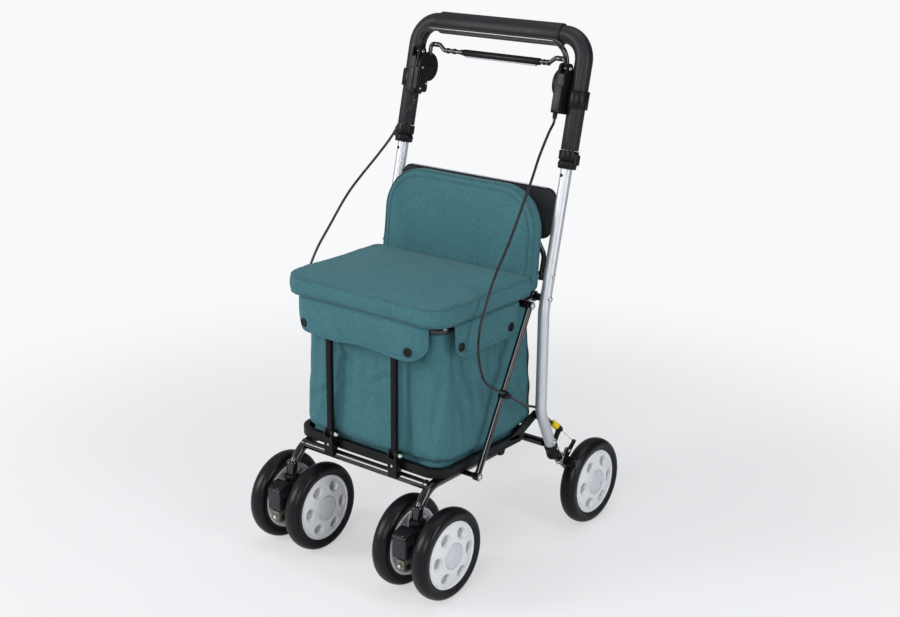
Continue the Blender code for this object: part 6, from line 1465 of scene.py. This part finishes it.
def inside_frame(was, now):
    """Keep the bag off the tray's band at its foot, and out of the flaps above."""
    room = 0.001 + 0.0075 * min(1.0, max(0.0, (was.z - 0.2385) / 0.03))
    half_x, front, rear, _ = bag_section(was.z)
    return Vector((max(-half_x - room, min(half_x + room, now.x)),
                   max(front - room, min(rear + min(room, 0.004), now.y)), now.z))


bag_bm = simulate(bag_bm, held, 0.55, 0.016, growth=0.03, frames=24, gravity=0.35, stiffness=8.0, bending=0.35,
                  limit=inside_frame)
bag_bm.verts.ensure_lookup_table()
for start, end, depth, width in BAG_CREASES:
    crease(bag_bm, start, end, depth, width)
bag_rings = [[bag_bm.verts[j * bag_columns + i].co.copy() for i in range(bag_columns)] for j in range(bag_rows + 1)]
floor_ring, foot_ring, hem_ring, top_ring = (bag_rings[j] for j in (0, 6, -4, -1))
half_x, _, rear, _ = bag_section(0.35)
corner_lines = []
for side, s in SIDES:
    corner = Vector((s * (half_x - 0.008), rear - 0.008))
    column = min(range(bag_columns), key=lambda i: (bag_rings[26][i].xy - corner).length)
    corner_lines.append([ring[column] for ring in bag_rings[2:]])
bag_shell = subdivided(bag_bm)
bag = Part()
for ring, radius in ((foot_ring, 0.0015), (top_ring, 0.0027)):
    bag.add(sweep(resting_on(bag_shell, ring, 0.0)[0], radius, 10, closed=True), PIPING)
for line in corner_lines:
    bag.add(sweep(resting_on(bag_shell, line, 0.0004)[0], 0.0021, 10), WEBBING)
for ring, rise in ((hem_ring, 0.0), (foot_ring, 0.0045)):
    stitched(bag, bag_shell, [p + Vector((0, 0, rise)) for p in ring], lift=0.0002, radius=0.00045)
floor_outline = [(p.x * 0.985, (p.y + 0.063) * 0.985 - 0.063) for p in floor_ring]
bag.add(slab(floor_outline, BAG_LOW + 0.0002, BAG_LOW + 0.002, 0.0, axis="Z"), CLOTH)
bag.add(modified(bag_shell, "SOLIDIFY", thickness=0.0016, offset=-1), CLOTH)
bag_piece = bag.done("bag_sewn", "frame", "bag", angle=60, slot="fabric")
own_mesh(bag_piece)


# Brake cables, each in three stretches: the handle end, the run down the strut to the clip, and the lower end to the
# adjuster; only the run rides on the frame
def smooth_route(points, step):
    """Even points along a Catmull-Rom curve through the points."""
    points = [Vector(p) for p in points]
    points = [points[0] * 2 - points[1]] + points + [points[-1] * 2 - points[-2]]
    fine = []
    for a, b, c, d in zip(points, points[1:], points[2:], points[3:]):
        for k in range(24):
            u = k / 24
            fine.append(0.5 * (2 * b + (c - a) * u + (2 * a - 5 * b + 4 * c - d) * u * u
                               + (3 * b - a - 3 * c + d) * u ** 3))
    fine.append(points[-2])
    lengths = [0.0]
    for a, b in zip(fine, fine[1:]):
        lengths.append(lengths[-1] + (b - a).length)
    count = max(2, round(lengths[-1] / step))
    even, k = [], 0
    for i in range(count + 1):
        target = lengths[-1] * i / count
        while k < len(fine) - 2 and lengths[k + 1] < target:
            k += 1
        even.append(fine[k].lerp(fine[k + 1], (target - lengths[k]) / max(1e-9, lengths[k + 1] - lengths[k])))
    return even


CABLE_RADIUS = 0.0025
CABLE_UPPER = {
    "left": [(0.1735, 0.124, 0.806), (0.1785, 0.088, 0.768), (0.185, 0.051, 0.722), (0.195, -0.021, 0.635),
             (0.205, -0.079, 0.581), (0.212, -0.12, 0.5235), (0.215, -0.137, 0.4835)],
    "right": [(0.1735, 0.121, 0.8), (0.1785, 0.085, 0.76), (0.185, 0.054, 0.73), (0.195, -0.021, 0.668),
              (0.205, -0.07, 0.606), (0.212, -0.107, 0.555), (0.215, -0.133, 0.498)]}
CABLE_MIDDLE = [(0.215, -0.136, 0.442), (0.214, -0.117, 0.3955), (0.2125, -0.079, 0.366)]
CABLE_LOWER = [(0.202, 0.025, 0.302), (0.1845, 0.0857, 0.2735), (0.185, 0.116, 0.247)]
for side, s in SIDES:
    mirror = Matrix.Diagonal((s, 1, 1))
    clip_centre = CLIP_SPOT + CABLE_X * X_AXIS
    end = ADJUSTER_SPOT - ADJUSTER_RUN * 0.0073
    above = smooth_route([leaning(0.17, -0.022, 0.362), leaning(0.17, -0.022, 0.35), *CABLE_UPPER[side],
                          *CABLE_MIDDLE, clip_centre - CLIP_RUN * 0.0125, clip_centre], 0.006)
    below = smooth_route([clip_centre, clip_centre + CLIP_RUN * 0.0125, *CABLE_LOWER, end - ADJUSTER_RUN * 0.01,
                          end + ADJUSTER_RUN * 0.004], 0.006)
    cut = next(i for i, p in enumerate(above) if p.z < 0.66)
    stretches = {"top": above[:cut + 1], "run": above[cut:], "foot": below}
    made = {}
    for label, points in stretches.items():
        piece = Part()
        piece.add(sweep([mirror @ p for p in points], CABLE_RADIUS, 16), CABLE)
        owner = ("frame", f"brake_cable_{side}") if label == "run" else (None,)
        made[label] = piece.done(f"brake_cable_{side}_{label}", *owner, angle=60, slot="cable")
    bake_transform(made["top"])
    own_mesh(made["run"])
    foot, top = mirror @ below[-1], mirror @ clip_centre
    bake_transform(made["foot"])
